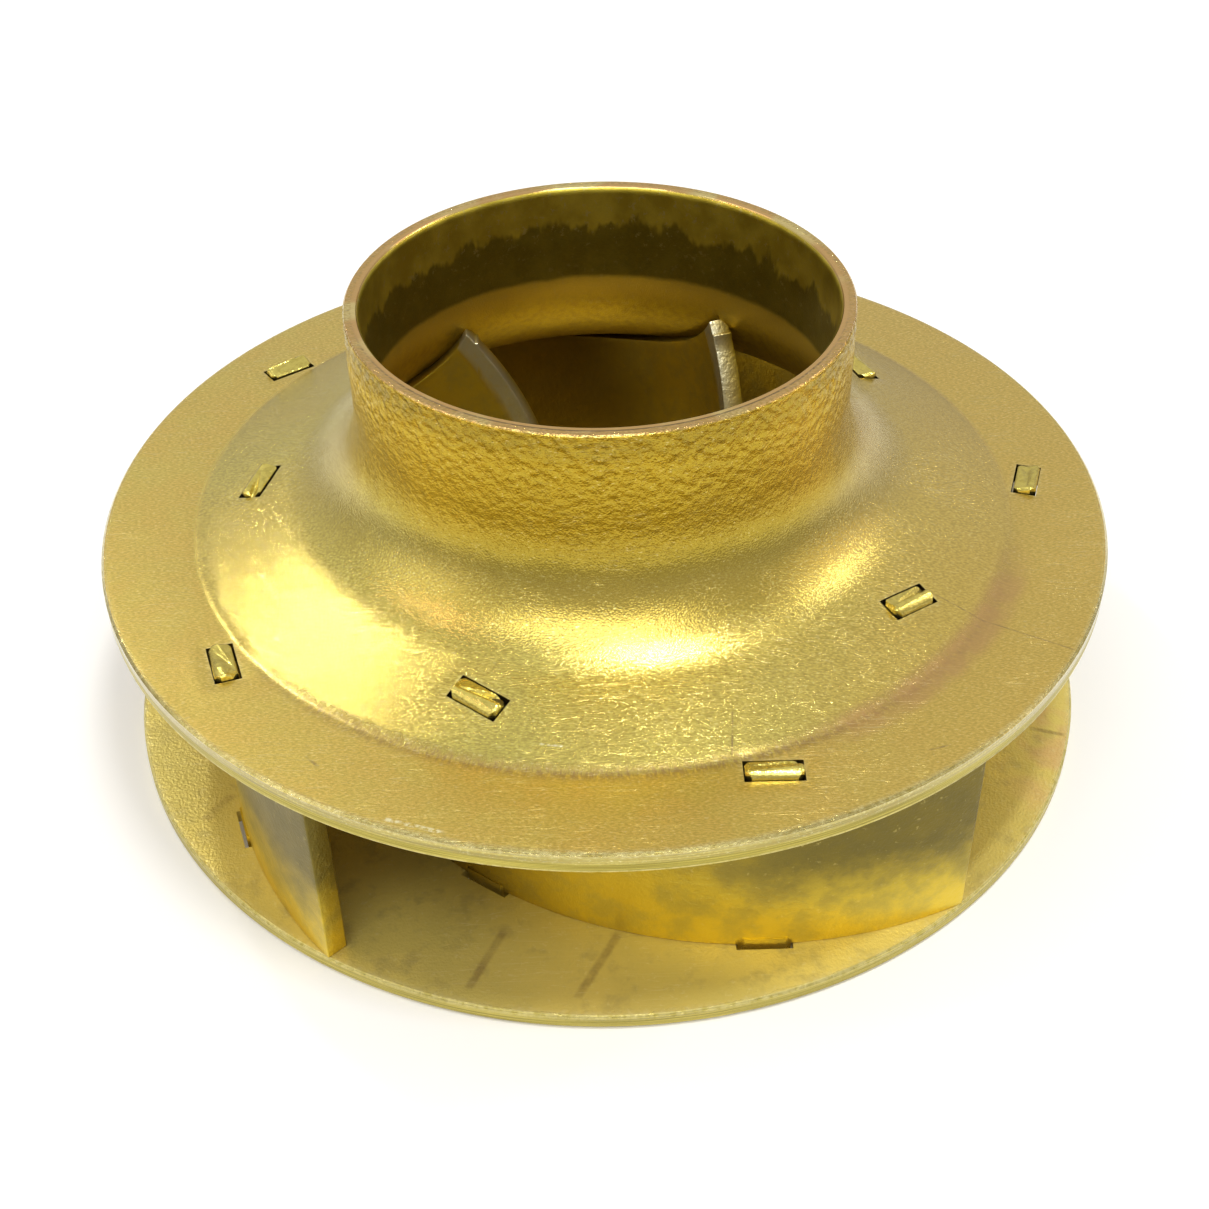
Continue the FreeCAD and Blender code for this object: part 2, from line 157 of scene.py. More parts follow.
def outer_z(r):
    """Height of the front shroud's outer face at a radius, outside the collar."""
    r = np.asarray(r, float)
    cone = LAND_Z + math.tan(DOME) * np.maximum(0, CREASE_R - r)
    arc = FILLET_Z - np.sqrt(np.maximum(0, COLLAR_FILLET ** 2 - np.minimum(0, r - FILLET_X) ** 2))
    return np.where(r > FILLET_X - COLLAR_FILLET * math.sin(DOME), cone, arc)


def inner_z(r, gap=0.0):
    """Height of the front shroud's underside at a radius, less a gap."""
    r = np.asarray(r, float)
    drop = gap / math.cos(DOME)
    cone = UNDER_Z + math.tan(DOME) * np.maximum(0, CREASE_UNDER - r) - np.where(r < CREASE_UNDER, drop, gap)
    big = THROAT_FILLET + gap
    arc = THROAT_Z - np.sqrt(np.maximum(0, big ** 2 - np.minimum(0, r - THROAT_X) ** 2))
    return np.where(r > THROAT_X - big * math.sin(DOME), cone, arc)


# ---- the vane's middle line

BEND_A_C = np.array([TIP_R - BEND_A * math.cos(OUTLET), BEND_A * math.sin(OUTLET)])
JOINT = OUTLET + SWEEP_A
BEND_B_C = BEND_A_C + (BEND_A - BEND_B) * np.array([math.cos(JOINT), -math.sin(JOINT)])


def mid_line(s):
    """Points, outward normals and tangents of the middle line at distances s from the tip, in (x, y)."""
    s = np.asarray(s, float)
    first = s < BEND_A * SWEEP_A
    angle = np.where(first, OUTLET + s / BEND_A, JOINT + (s - BEND_A * SWEEP_A) / BEND_B)
    radius = np.where(first, BEND_A, BEND_B)
    centre = np.where(first[..., None], BEND_A_C, BEND_B_C)
    normal = np.stack([np.cos(angle), -np.sin(angle)], -1)
    tangent = np.stack([-np.sin(angle), -np.cos(angle)], -1)
    return centre + radius[..., None] * normal, normal, tangent


def turned(xy, angle):
    """Points (n, 2) turned about the shaft axis."""
    c, s = math.cos(angle), math.sin(angle)
    return np.stack([xy[..., 0] * c - xy[..., 1] * s, xy[..., 0] * s + xy[..., 1] * c], -1)


def tab_frame(vane, tab):
    """Centre, tangent and outward normal of one tab, in (x, y)."""
    s = BEND_A * (TAB_ANGLE[tab] - OUTLET)
    centre, normal, tangent = mid_line(np.array([s]))
    angle = FIRST + PITCH * vane
    return turned(centre[0], angle), turned(tangent[0], angle), turned(normal[0], angle)


TABS = [(vane, tab) for vane in range(5) for tab in ("outer", "inner")]
TAB_FRAMES = {key: tab_frame(*key) for key in TABS}


def slot_distance(points):
    """Distance in plan from each point to the nearest slot's outline, negative inside."""
    best = np.full(len(points), 99.0)
    for centre, tangent, normal in TAB_FRAMES.values():
        d = points[:, :2] - centre
        u = np.abs(d @ tangent) - (TAB_L / 2 + SLOT_GAP)
        v = np.abs(d @ normal) - (VANE_T / 2 + SLOT_GAP)
        outside = np.hypot(np.maximum(u, 0), np.maximum(v, 0))
        best = np.minimum(best, np.where(np.maximum(u, v) > 0, outside, np.maximum(u, v)))
    return best


# ---- mesh helpers

def line(p, q, count):
    """count points from p towards q, without q."""
    t = np.arange(count)[:, None] / count
    return np.array(p) * (1 - t) + np.array(q) * t


def path(*stops):
    """Points along straight runs. A stop is (r, z, count of points up to the next stop)."""
    return np.vstack([line(p[:2], q[:2], p[2]) for p, q in zip(stops, stops[1:])])


def arc(centre, radius, start, finish, count):
    """count points along an arc in degrees, without the last."""
    a = np.radians(start + (finish - start) * np.arange(count) / count)
    return np.stack([centre[0] + radius * np.cos(a), centre[1] + radius * np.sin(a)], -1)


def runs_left(profile):
    """Whether a closed (r, z) profile runs anticlockwise."""
    r, z = profile[:, 0], profile[:, 1]
    return np.sum(r * np.roll(z, -1) - np.roll(r, -1) * z) > 0


def profile_normals(profile):
    """Outward normals of a closed (r, z) profile."""
    step = np.roll(profile, -1, 0) - np.roll(profile, 1, 0)
    step /= np.linalg.norm(step, axis=1)[:, None]
    side = 1.0 if runs_left(profile) else -1.0
    return side * np.stack([step[:, 1], -step[:, 0]], -1)


def lathe(profile, segments, relief):
    """(vertices, faces) of a closed (r, z) profile turned round the axis. relief(points) gives a height
    along the profile's normal for each vertex, in millimetres."""
    normals = profile_normals(profile)
    theta = np.arange(segments) * TAU / segments
    c, s = np.cos(theta)[:, None], np.sin(theta)[:, None]
    r, z = profile[:, 0][None], profile[:, 1][None]
    points = np.stack([r * c, r * s, np.broadcast_to(z, (segments, len(profile)))], -1).reshape(-1, 3)
    nr, nz = normals[:, 0][None], normals[:, 1][None]
    out = np.stack([nr * c, nr * s, np.broadcast_to(nz, (segments, len(profile)))], -1).reshape(-1, 3)
    points = points + out * relief(points)[:, None]
    n = len(profile)
    i, j = np.meshgrid(np.arange(segments), np.arange(n), indexing="ij")
    a = i * n + j
    b = ((i + 1) % segments) * n + j
    d = i * n + (j + 1) % n
    e = ((i + 1) % segments) * n + (j + 1) % n
    faces = np.stack([a, b, e, d], -1).reshape(-1, 4)
    return points, faces if runs_left(profile) else faces[:, ::-1]


def mesh_object(name, points, faces):
    """A new object from points in millimetres and faces."""
    mesh = bpy.data.meshes.new(name)
    mesh.from_pydata((np.asarray(points) * MM).tolist(), [], [list(map(int, f)) for f in faces])
    mesh.validate()
    obj = bpy.data.objects.new(name, mesh)
    bpy.context.scene.collection.objects.link(obj)
    return obj


def coords(obj):
    """The vertices of an object in millimetres."""
    data = np.empty(len(obj.data.vertices) * 3, np.float32)
    obj.data.vertices.foreach_get("co", data)
    return data.reshape(-1, 3).astype(float) / MM


def attribute(obj, name, values):
    """A number on every vertex, which the material reads."""
    layer = obj.data.attributes.get(name) or obj.data.attributes.new(name, "FLOAT", "POINT")
    layer.data.foreach_set("value", np.asarray(values, np.float32))


def combine(name, pieces):
    """One object of several (points, faces) sets."""
    points, faces, start = [], [], 0
    for p, f in pieces:
        points.append(np.asarray(p))
        faces += [[int(v) + start for v in face] for face in f]
        start += len(p)
    return mesh_object(name, np.vstack(points), faces)


def apply_modifiers(obj):
    """Turn the object's modifiers into mesh."""
    graph = bpy.context.evaluated_depsgraph_get()
    mesh = bpy.data.meshes.new_from_object(obj.evaluated_get(graph))
    old = obj.data
    obj.modifiers.clear()
    obj.data = mesh
    bpy.data.meshes.remove(old)


def boolean(obj, tool, operation="DIFFERENCE"):
    """Cut or join a tool object, which is then removed."""
    modifier = obj.modifiers.new("cut", "BOOLEAN")
    modifier.operation = operation
    modifier.solver = "EXACT"
    modifier.object = tool
    apply_modifiers(obj)
    bpy.data.objects.remove(tool)


def mark_slot_shade_walls(obj):
    """A number on every face: 1 on the walls of the slots, which the material paints near-black as painted
    shade.
    """
    mesh = obj.data
    count = len(mesh.polygons)
    centre, normal = np.empty(count * 3, np.float32), np.empty(count * 3, np.float32)
    mesh.polygons.foreach_get("center", centre)
    mesh.polygons.foreach_get("normal", normal)
    upright = np.abs(normal.reshape(-1, 3)[:, 2]) < 0.3
    on_slot = np.abs(slot_distance(centre.reshape(-1, 3).astype(float) / MM)) < 0.06
    layer = mesh.attributes.new("wall", "FLOAT", "FACE")
    layer.data.foreach_set("value", (upright & on_slot).astype(np.float32))


def shade(obj, degrees):
    """Smooth shading, with creases sharper than the angle left sharp."""
    mesh = obj.data
    mesh.polygons.foreach_set("use_smooth", np.ones(len(mesh.polygons), bool))
    mesh.set_sharp_from_angle(angle=math.radians(degrees))


def shell(outline, low, other, high):
    """(vertices, faces) of a closed shape from one (x, y) outline at a height to another above it."""
    n = len(outline)
    points = np.vstack([np.column_stack([outline, np.full(n, low)]),
                        np.column_stack([other, np.full(n, high)])])
    faces = [[i, (i + 1) % n, n + (i + 1) % n, n + i] for i in range(n)]
    return points, faces + [list(range(n))[::-1], list(range(n, 2 * n))]


def ring_outline(x, y, radius, count=48):
    """A round outline."""
    a = np.arange(count) * TAU / count
    return np.stack([x + radius * np.cos(a), y + radius * np.sin(a)], -1)


def cone(x, y, low, high, r_low, r_high):
    """(vertices, faces) of a cone or cylinder between two heights."""
    return shell(ring_outline(x, y, r_low), low, ring_outline(x, y, r_high), high)


def prism(outline, low, high):
    """(vertices, faces) of an (x, y) outline between two heights."""
    return shell(outline, low, outline, high)


def slot_outline(key, outward=0.0):
    """The slot of one tab, with that much more room on the vane's outer side."""
    centre, tangent, normal = TAB_FRAMES[key]
    u = TAB_L / 2 + SLOT_GAP
    v = VANE_T / 2 + SLOT_GAP
    places = ((u, -v), (u, v + outward), (-u, v + outward), (-u, -v))
    return [centre + a * tangent + b * normal for a, b in places]


# ---- front shroud

def shroud_profile():
    """The closed (r, z) profile of the front shroud, outer face first."""
    sin_d, cos_d = math.sin(DOME), math.cos(DOME)
    end = (FILLET_X - COLLAR_FILLET * sin_d, FILLET_Z - COLLAR_FILLET * cos_d)
    throat_end = (THROAT_X - THROAT_FILLET * sin_d, THROAT_Z - THROAT_FILLET * cos_d)
    return np.vstack([
        path((THROAT_R, RIM_Z - 0.5, 3), (THROAT_R + 0.35, RIM_Z, 6), (COLLAR_R - 0.2, RIM_Z, 2),
             (COLLAR_R, RIM_Z - 0.25, 46), (COLLAR_R, FILLET_Z, 0)),
        arc((FILLET_X, FILLET_Z), COLLAR_FILLET, 180, 255, 44),
        path((*end, 26), (CREASE_R, LAND_Z, 26), (DISC_R - 0.35, LAND_Z, 3), (DISC_R, LAND_Z - 0.35, 7),
             (DISC_R, UNDER_Z + 0.3, 2), (DISC_R - 0.3, UNDER_Z, 12), (CREASE_UNDER, UNDER_Z, 10),
             (*throat_end, 0)),
        arc((THROAT_X, THROAT_Z), THROAT_FILLET, 255, 180, 30),
        path((THROAT_R, THROAT_Z, 24), (THROAT_R, RIM_Z - 0.5, 0)),
    ])


def is_outer(points):
    """1 where a point of the shroud is on its outer side."""
    r, _ = polar(points)
    middle = (outer_z(np.maximum(r, COLLAR_R)) + inner_z(np.maximum(r, THROAT_R))) / 2
    collar = points[:, 2] > FILLET_Z - 0.5
    return np.where(collar, r > 30.9, points[:, 2] > middle).astype(float)


def shroud_relief(points):
    """Surface relief of the front shroud: cast-like skin on the collar, dents, crease and nicks."""
    r, theta = polar(points)
    z = points[:, 2]
    outer = is_outer(points)
    swirl = np.stack([points[:, 0] + 0.35 * z, points[:, 1], z * 0.9], -1)
    skin = smooth(z, 59.75, 59.2) * smooth(z, 45.0, 57.5) * outer
    height = skin * (0.11 * noise(swirl, 0.62, 3, 3) - 0.06)
    height += 0.045 * noise(swirl, 2.6, 5, 2) * smooth(z, 59.5, 57.5) * smooth(z, 34, 44) * outer
    dome = outer * smooth(z, 59.5, 55) * smooth(r, 55.5, 53.5)
    height += dome * (0.016 * noise(points, 9.0, 7, 2) + 0.002 * noise(points, 1.3, 8, 2))
    land = outer * smooth(r, 54.0, 56.0)
    height += land * (0.035 * noise(points, 15.0, 9, 2) + 0.004 * noise(points, 1.5, 10, 2))
    streak = np.stack([theta * 60, theta * 0, r * 0.2], -1)
    crease = np.exp(-((r - 54.3) / 0.55) ** 2) * outer * smooth(z, 40, 35)
    height -= crease * (0.035 + 0.02 * noise(streak, 1.0, 12, 2))
    rim = smooth(r, 66.0, 66.5)
    nick = noise(np.stack([theta * 66, theta * 0, z * 0.6], -1), 1.7, 14, 3)
    height -= rim * 0.05 * smooth(nick, 0.35, 1.1)
    inner = (1 - outer) * smooth(z, 59.3, 57)
    height += inner * 0.03 * noise(points, 2.2, 16, 2)
    d = slot_distance(points)
    near = outer * smooth(z, 45, 42) * np.exp(-(np.maximum(d, 0) / 0.8) ** 2)
    height -= 0.07 * near * (0.8 + 0.5 * noise(points, 1.6, 18))
    ring = outer * smooth(z, 45, 42) * np.exp(-((d - 2.1) / 0.9) ** 2)
    height += 0.02 * ring
    return np.where(r > RIM_START, np.minimum(height, -WALL_INSET), height)


def make_shroud():
    """The front shroud, drawn from one sheet, with its ten slots."""
    points, faces = lathe(shroud_profile(), 900, shroud_relief)
    obj = mesh_object("front_shroud_brass", points, faces)
    cutter = combine("slots", [prism(slot_outline(key), 24.0, 46.0) for key in TABS])
    boolean(obj, cutter)
    p = coords(obj)
    r, _ = polar(p)
    d = slot_distance(p)
    outer = is_outer(p)
    attribute(obj, "outer", outer)
    # Paler right round each slot's edge: rubbed brass and a painted highlight.
    attribute(obj, "slot", outer * smooth(d, 0.45, 0.0) * smooth(p[:, 2], 46, 42))
    mark_slot_shade_walls(obj)
    edge = np.maximum(smooth(np.hypot(r - DISC_R, p[:, 2] - LAND_Z), 0.9, 0.2),
                      smooth(np.hypot(r - DISC_R, p[:, 2] - UNDER_Z), 0.6, 0.2))
    attribute(obj, "edge", edge)
    shade(obj, 38)
    return obj


# ---- back plate

def plate_profile():
    """The closed (r, z) profile of the back plate."""
    hole = HUB_R + HOLE_ROOM
    return path((hole, 0.0, 40), (BACK_R - 0.3, 0.0, 2), (BACK_R, 0.3, 5), (BACK_R, PLATE_T - 0.3, 3),
                (BACK_R - 0.3, PLATE_T, 70), (hole, PLATE_T, 3), (hole, 0.0, 0))


def plate_relief(points):
    """Relief of the back plate: a slight wave and a worn rim."""
    r, theta = polar(points)
    top = smooth(points[:, 2], 1.2, 1.8)
    height = top * smooth(r, 24, 30) * (0.05 * noise(points, 15.0, 21, 2) + 0.008 * noise(points, 1.5, 22, 2))
    rim = smooth(r, 65.6, 66.0)
    nick = noise(np.stack([theta * 66, theta * 0, points[:, 2] * 0.6], -1), 2.1, 23, 3)
    height -= rim * 0.04 * smooth(nick, 0.5, 1.2)
    d = slot_distance(points)
    return height - 0.10 * top * np.exp(-(np.maximum(d, 0) / 0.7) ** 2)


def rivet_places():
    """The rivets' centres."""
    return [turned(np.array([RIVET_CIRCLE_R, 0.0]), FIRST + PITCH * k) for k in range(5)]


def make_plate():
    """The flat back plate with its slots and countersunk rivet holes."""
    points, faces = lathe(plate_profile(), 720, plate_relief)
    obj = mesh_object("back_plate_brass", points, faces)
    hole = RIVET_R + HOLE_ROOM
    tools = [prism(slot_outline(key, PLATE_SLOT_EXTRA), -1.0, 4.0) for key in TABS]
    tools += [cone(x, y, -1.0, 4.0, hole, hole) for x, y in rivet_places()]
    boolean(obj, combine("slots", tools))
    sinks = [cone(x, y, -0.5, 1.0, SINK_R, RIVET_R) for x, y in rivet_places()]
    boolean(obj, combine("sinks", sinks))
    p = coords(obj)
    r, _ = polar(p)
    attribute(obj, "edge", smooth(np.hypot(r - BACK_R, p[:, 2] - PLATE_T), 0.8, 0.2))
    shade(obj, 38)
    return obj


# ---- vanes

def lead_radius(z):
    """Radius of the bowed leading edge at a height."""
    corner = np.array([THROAT_X - LEAD_R * math.cos(LEAD_TURN), THROAT_Z - LEAD_R * math.sin(LEAD_TURN)])
    foot = np.array([FOOT_R, PLATE_T])
    span = np.linalg.norm(corner - foot)
    reach = math.sqrt(BOW ** 2 - (span / 2) ** 2) / span
    centre = (corner + foot) / 2 + reach * np.array([corner[1] - foot[1], -(corner[0] - foot[0])])
    return centre[0] - np.sqrt(BOW ** 2 - (z - centre[1]) ** 2)


S_GRID = np.linspace(0.0, BEND_A * SWEEP_A + BEND_B * math.radians(120), 3000)
R_GRID = np.hypot(*mid_line(S_GRID)[0].T)
INNERMOST = int(np.argmin(R_GRID))


def distance_at(radius):
    """Distance along the middle line at which it reaches a radius."""
    return np.interp(-np.asarray(radius), -R_GRID[:INNERMOST], S_GRID[:INNERMOST])


def vane_sheet(vane, columns=150, rows=30):
    """(vertices, faces) of the rolled strip, with its rounded edges, without tabs."""
    u = np.linspace(0, 1, columns)[:, None]
    t = np.linspace(0, 1, rows)[None]
    s = np.zeros((columns, rows)) + 60 * u
    z = np.zeros((columns, rows)) + 20 * t
    for _ in range(24):
        s = u * distance_at(lead_radius(z))
        r = np.interp(s, S_GRID, R_GRID)
        z = 0.6 * z + 0.4 * (PLATE_T + t * (inner_z(r, VANE_GAP) - PLATE_T))
    xy, normal, _ = mid_line(s)
    flat = np.stack([xy[..., 0], xy[..., 1], z], -1).reshape(-1, 3)
    wave = 0.10 * noise(flat, 14.0, 31 + vane, 2) + 0.02 * noise(flat, 1.6, 41 + vane, 2)
    wave = wave.reshape(columns, rows, 1)
    layers = []
    for side in (1, -1):
        q = xy + (side * VANE_T / 2 + wave) * normal
        q = turned(q, FIRST + PITCH * vane)
        layers.append(np.concatenate([q, z[..., None]], -1).reshape(-1, 3))
    index = np.arange(columns * rows).reshape(columns, rows)
    a, b = index[:-1, :-1].ravel(), index[1:, :-1].ravel()
    c, d = index[1:, 1:].ravel(), index[:-1, 1:].ravel()
    faces = np.stack([d, c, b, a], -1).tolist()
    shift = columns * rows
    faces += (np.stack([a, b, c, d], -1) + shift).tolist()
    border = list(index[:, 0]) + list(index[-1, 1:]) + list(index[-2::-1, -1]) + list(index[0, -2:0:-1])
    for p, q in zip(border, border[1:] + border[:1]):
        faces.append([p, q, q + shift, p + shift])
    return np.vstack(layers), faces


# How the chisel left each head: the nick's apex and the ends of its two ridges, as shares of the tab's half
# length and half width, then the nick's depth and which side of it is the steep one.
NICKS = {
    (4, "inner"): ((0.88, 0.42), (-0.30, -0.80), (-0.60, 0.02), 0.62, 0.25),
    (4, "outer"): ((0.92, -0.16), (-0.66, -1.00), (-0.84, -0.30), 0.55, 0.40),
    (3, "outer"): ((-0.66, -0.92), (1.05, 0.25), (-0.38, 0.88), 0.60, 0.20),
    (0, "inner"): ((0.84, 0.10), (-0.76, -1.00), (-0.90, 0.26), 0.60, 0.35),
    (0, "outer"): ((0.90, 0.20), (-0.70, -0.85), (-0.55, 0.75), 0.60, 0.50),
    (3, "inner"): ((0.75, 0.50), (-0.70, -0.70), (-0.85, 0.50), 0.60, 0.40),
    (2, "outer"): ((0.90, 0.60), (-0.80, 0.20), (-0.90, 0.85), 0.45, 0.50),
    (1, "inner"): ((0.80, -0.20), (-0.80, -0.90), (-0.80, 0.30), 0.50, 0.30),
    (1, "outer"): ((0.85, 0.05), (-0.75, -0.90), (-0.80, 0.10), 0.55, 0.35),
    (2, "inner"): ((0.85, 0.15), (-0.70, -0.95), (-0.85, 0.15), 0.55, 0.35),
}


def head_height(u, v, nick):
    """Height of a staked head above the sheet, at shares (u, v) of its half length and half width."""
    (ax, ay), (bx, by), (cx, cy), depth, steep = nick
    crest = 0.30 + 0.22 * u
    rise = 0.16 + (HEAD_PROUD - 0.16) * np.clip((v + 1) / (crest + 1), 0, 1)
    fall = HEAD_PROUD * np.sqrt(np.maximum(0.04, 1 - ((v - crest) / (1.03 - crest)) ** 2))
    ends = np.minimum(0.0, 2.0 * (0.90 - u)) + np.minimum(0.0, 2.0 * (0.92 + u))
    height = np.where(v < crest, rise, fall) + ends
    along_b = np.arctan2((by - ay) * VANE_T, (bx - ax) * TAB_L)
    along_c = np.arctan2((cy - ay) * VANE_T, (cx - ax) * TAB_L)
    turn = (along_c - along_b + math.pi) % TAU - math.pi
    here = np.arctan2((v - ay) * VANE_T, (u - ax) * TAB_L)
    share = ((here - along_b + math.pi) % TAU - math.pi) / turn
    far = np.hypot((u - ax) * TAB_L / 2, (v - ay) * VANE_T / 2)
    inside = (share > 0) & (share < 1)
    shape = np.minimum(share / steep, (1 - share) / (1 - steep))
    fade = np.minimum(1.0, far / (0.75 * TAB_L))
    height -= np.where(inside, np.clip(1.15 * shape, 0, 1), 0) * 1.05 * depth * fade
    return height


def staked_tab(key, front):
    """(vertices, faces) of one tab with its staked head. Front tabs point up, the others down."""
    centre, tangent, normal = TAB_FRAMES[key]
    na, nb = 36, 22
    a = np.linspace(-1, 1, na)[:, None] + np.zeros((1, nb))
    b = np.zeros((na, 1)) + np.linspace(-1, 1, nb)[None]
    reach = np.abs(a) * TAB_L + np.abs(b) * VANE_T
    cut = np.minimum(1.0, (TAB_L + VANE_T * 0.50) / np.maximum(reach, 1e-6))
    u, v = a * cut, b * cut
    spread = -0.04 + 0.03 * math.sin(7.0 * key[0] + 3.0 * front)
    nick = NICKS[key] if front else NICKS[((key[0] * 2 + 1) % 5, key[1])]
    seed = 50 + key[0]
    height = head_height(u, v, nick)
    height = np.maximum(height, -0.25) - 0.06 * smooth(np.maximum(np.abs(a), np.abs(b)), 0.90, 1.0)
    along = u * (TAB_L / 2 + HEAD_END)
    across = v * VANE_T / 2 + np.where(v > 0, spread + HEAD_SIDE, spread) * v
    xy = centre + along[..., None] * tangent + across[..., None] * normal
    r = np.hypot(xy[..., 0], xy[..., 1])
    flat = np.stack([xy[..., 0], xy[..., 1], height * 0], -1).reshape(-1, 3)
    rough = noise(flat, 0.9, seed, 2).reshape(na, nb) * 0.02
    if front:
        top = outer_z(r) + height + rough
        low = inner_z(r) - 1.2
    else:
        top = np.maximum(0.30 - 0.30 * height, 0.02) + rough * 0.3
        low = top * 0 + PLATE_T + 1.2
    upper = np.concatenate([xy, top[..., None]], -1).reshape(-1, 3)
    index = np.arange(na * nb).reshape(na, nb)
    faces = np.stack([index[:-1, :-1].ravel(), index[1:, :-1].ravel(), index[1:, 1:].ravel(),
                      index[:-1, 1:].ravel()], -1).tolist()
    border = list(index[:, 0]) + list(index[-1, 1:]) + list(index[-2::-1, -1]) + list(index[0, -2:0:-1])
    collar = outer_z(r) - HEAD_ROOT if front else np.zeros_like(r) + HEAD_ROOT
    ring = np.concatenate([xy, collar[..., None]], -1).reshape(-1, 3)[border]
    base = np.concatenate([xy, low[..., None]], -1).reshape(-1, 3)[border]
    n = len(border)
    start = na * nb
    faces += [[border[i], start + i, start + (i + 1) % n, border[(i + 1) % n]] for i in range(n)]
    faces += [[start + i, start + n + i, start + n + (i + 1) % n, start + (i + 1) % n] for i in range(n)]
    faces.append([start + n + i for i in range(n)][::-1])
    if (np.cross(np.append(tangent, 0), np.append(normal, 0))[2] > 0) != front:
        faces = [f[::-1] for f in faces]
    return np.vstack([upper, ring, base]), faces


def tidy_normals(obj):
    """Make the faces of each closed shell point outwards."""
    b = bmesh.new()
    b.from_mesh(obj.data)
    bmesh.ops.recalc_face_normals(b, faces=b.faces)
    b.to_mesh(obj.data)
    b.free()


def make_vane(vane):
    """One vane with its four staked tabs."""
    points, faces = vane_sheet(vane)
    obj = mesh_object(f"vane_{vane + 1}_brass", points, faces)
    tidy_normals(obj)
    bevel = obj.modifiers.new("edges", "BEVEL")
    bevel.width = VANE_BEVEL * MM
    bevel.segments = 3
    bevel.limit_method = "ANGLE"
    bevel.angle_limit = math.radians(50)
    apply_modifiers(obj)
    tabs = [staked_tab((vane, tab), front) for tab in ("outer", "inner") for front in (True, False)]
    tool = combine("tabs", tabs)
    tidy_normals(tool)
    boolean(obj, tool, "UNION")
    p = coords(obj)
    r, _ = polar(p)
    lead = lead_radius(np.clip(p[:, 2], PLATE_T, 41))
    attribute(obj, "lead", smooth(r - lead, 0.55, 0.30))
    attribute(obj, "tip", smooth(r, 49, 61))
    # Painted shade: the inner part of each vane, away from its leading edge, is painted dark brown.
    attribute(obj, "inner_shade", smooth(r - lead, 7, 16) * smooth(r, 54, 42))
    head = np.maximum(smooth(p[:, 2] - inner_z(np.maximum(r, THROAT_R)), 0.3, 1.0) * (r > 32),
                      smooth(p[:, 2], 1.9, 1.5))
    attribute(obj, "head", head)
    # Painted shade: the sides of the front tabs below the shroud's face, down in the slots, are painted
    # near-black.
    below = smooth(p[:, 2] - outer_z(np.maximum(r, COLLAR_R)), -0.02, -0.30)
    attribute(obj, "slot_shade", head * below * (p[:, 2] > 5))
    shade(obj, 30)
    return obj


# ---- hub and rivets

def hub_profile():
    """The closed (r, z) profile of the hub with its flange and bore."""
    return np.vstack([
        path((BORE_R, 0.4, 2), (BORE_R + 0.4, 0.0, 6), (HUB_R - 0.2, 0.0, 2), (HUB_R, 0.2, 2),
             (HUB_R, PLATE_T, 4), (FLANGE_R, PLATE_T, 5), (FLANGE_R, FLANGE_TOP - 0.35, 3),
             (FLANGE_R - 0.35, FLANGE_TOP, 12), (HUB_R + 1.0, FLANGE_TOP, 0)),
        arc((HUB_R + 1.0, FLANGE_TOP + 1.0), 1.0, 270, 180, 8),
        path((HUB_R, FLANGE_TOP + 1.0, 30), (HUB_R, HUB_L - 1.0, 4), (HUB_R - 1.0, HUB_L, 10),
             (BORE_R + 0.5, HUB_L, 2), (BORE_R, HUB_L - 0.5, 30), (BORE_R, 0.4, 0)),
    ])


def hub_relief(points):
    """Turning marks on the hub."""
    r, theta = polar(points)
    z = points[:, 2]
    marks = 0.012 * noise(np.stack([r * 2.2, z * 2.2, theta * 0.3], -1), 1.0, 61, 2)
    return np.where(z < 0.5, np.minimum(marks, 0.0), marks)


def make_hub():
    """The turned hub with its flange, keyway and rivet holes."""
    points, faces = lathe(hub_profile(), 240, hub_relief)
    obj = mesh_object("hub_brass", points, faces)
    half, far = KEY_HALF_WIDTH, BORE_R + KEY_DEPTH
    key = turned(np.array([[2.0, -half], [far, -half], [far, half], [2.0, half]]), FIRST)
    tools = [prism(key, -1.0, HUB_L + 1.0)]
    hole = RIVET_R + HOLE_ROOM
    tools += [cone(x, y, 1.0, FLANGE_TOP + 1.0, hole, hole) for x, y in rivet_places()]
    boolean(obj, combine("key", tools))
    shade(obj, 30)
    return obj


def make_rivets():
    """The five rivets: coned heads with upset tops, shanks, and closing heads flush in the back face."""
    parts = []
    for number, (x, y) in enumerate(rivet_places()):
        top = FLANGE_TOP + RIVET_HEAD
        profile = np.array([(0.02, 0.03), (2.6, 0.05), (2.95, 0.06), (2.0, 1.0), (2.0, 2.0), (2.0, 4.96),
                            (3.05, 5.02), (3.2, 5.15), (3.12, 5.4), (2.9, 5.75), (2.5, 6.15), (2.1, 6.45),
                            (1.7, 6.56), (1.2, top), (0.6, top - 0.02), (0.02, top - 0.06)])
        n, seg = len(profile), 48
        a = np.arange(seg) * TAU / seg
        wobble = 1 + 0.025 * np.sin(2 * a + number * 1.3) * (profile[:, 1] > 5)[:, None]
        r, z = profile[:, 0][:, None], profile[:, 1][:, None]
        q = np.stack([x + r * wobble * np.cos(a), y + r * wobble * np.sin(a), z + 0 * a], -1)
        faces = []
        for i in range(n - 1):
            for j in range(seg):
                k = (j + 1) % seg
                faces.append([i * seg + j, i * seg + k, (i + 1) * seg + k, (i + 1) * seg + j])
        faces.append(list(range(seg))[::-1])
        faces.append([(n - 1) * seg + j for j in range(seg)])
        parts.append((q.reshape(-1, 3), faces))
    obj = combine("hub_rivets_brass", parts)
    shade(obj, 40)
    return obj


# ---- materials

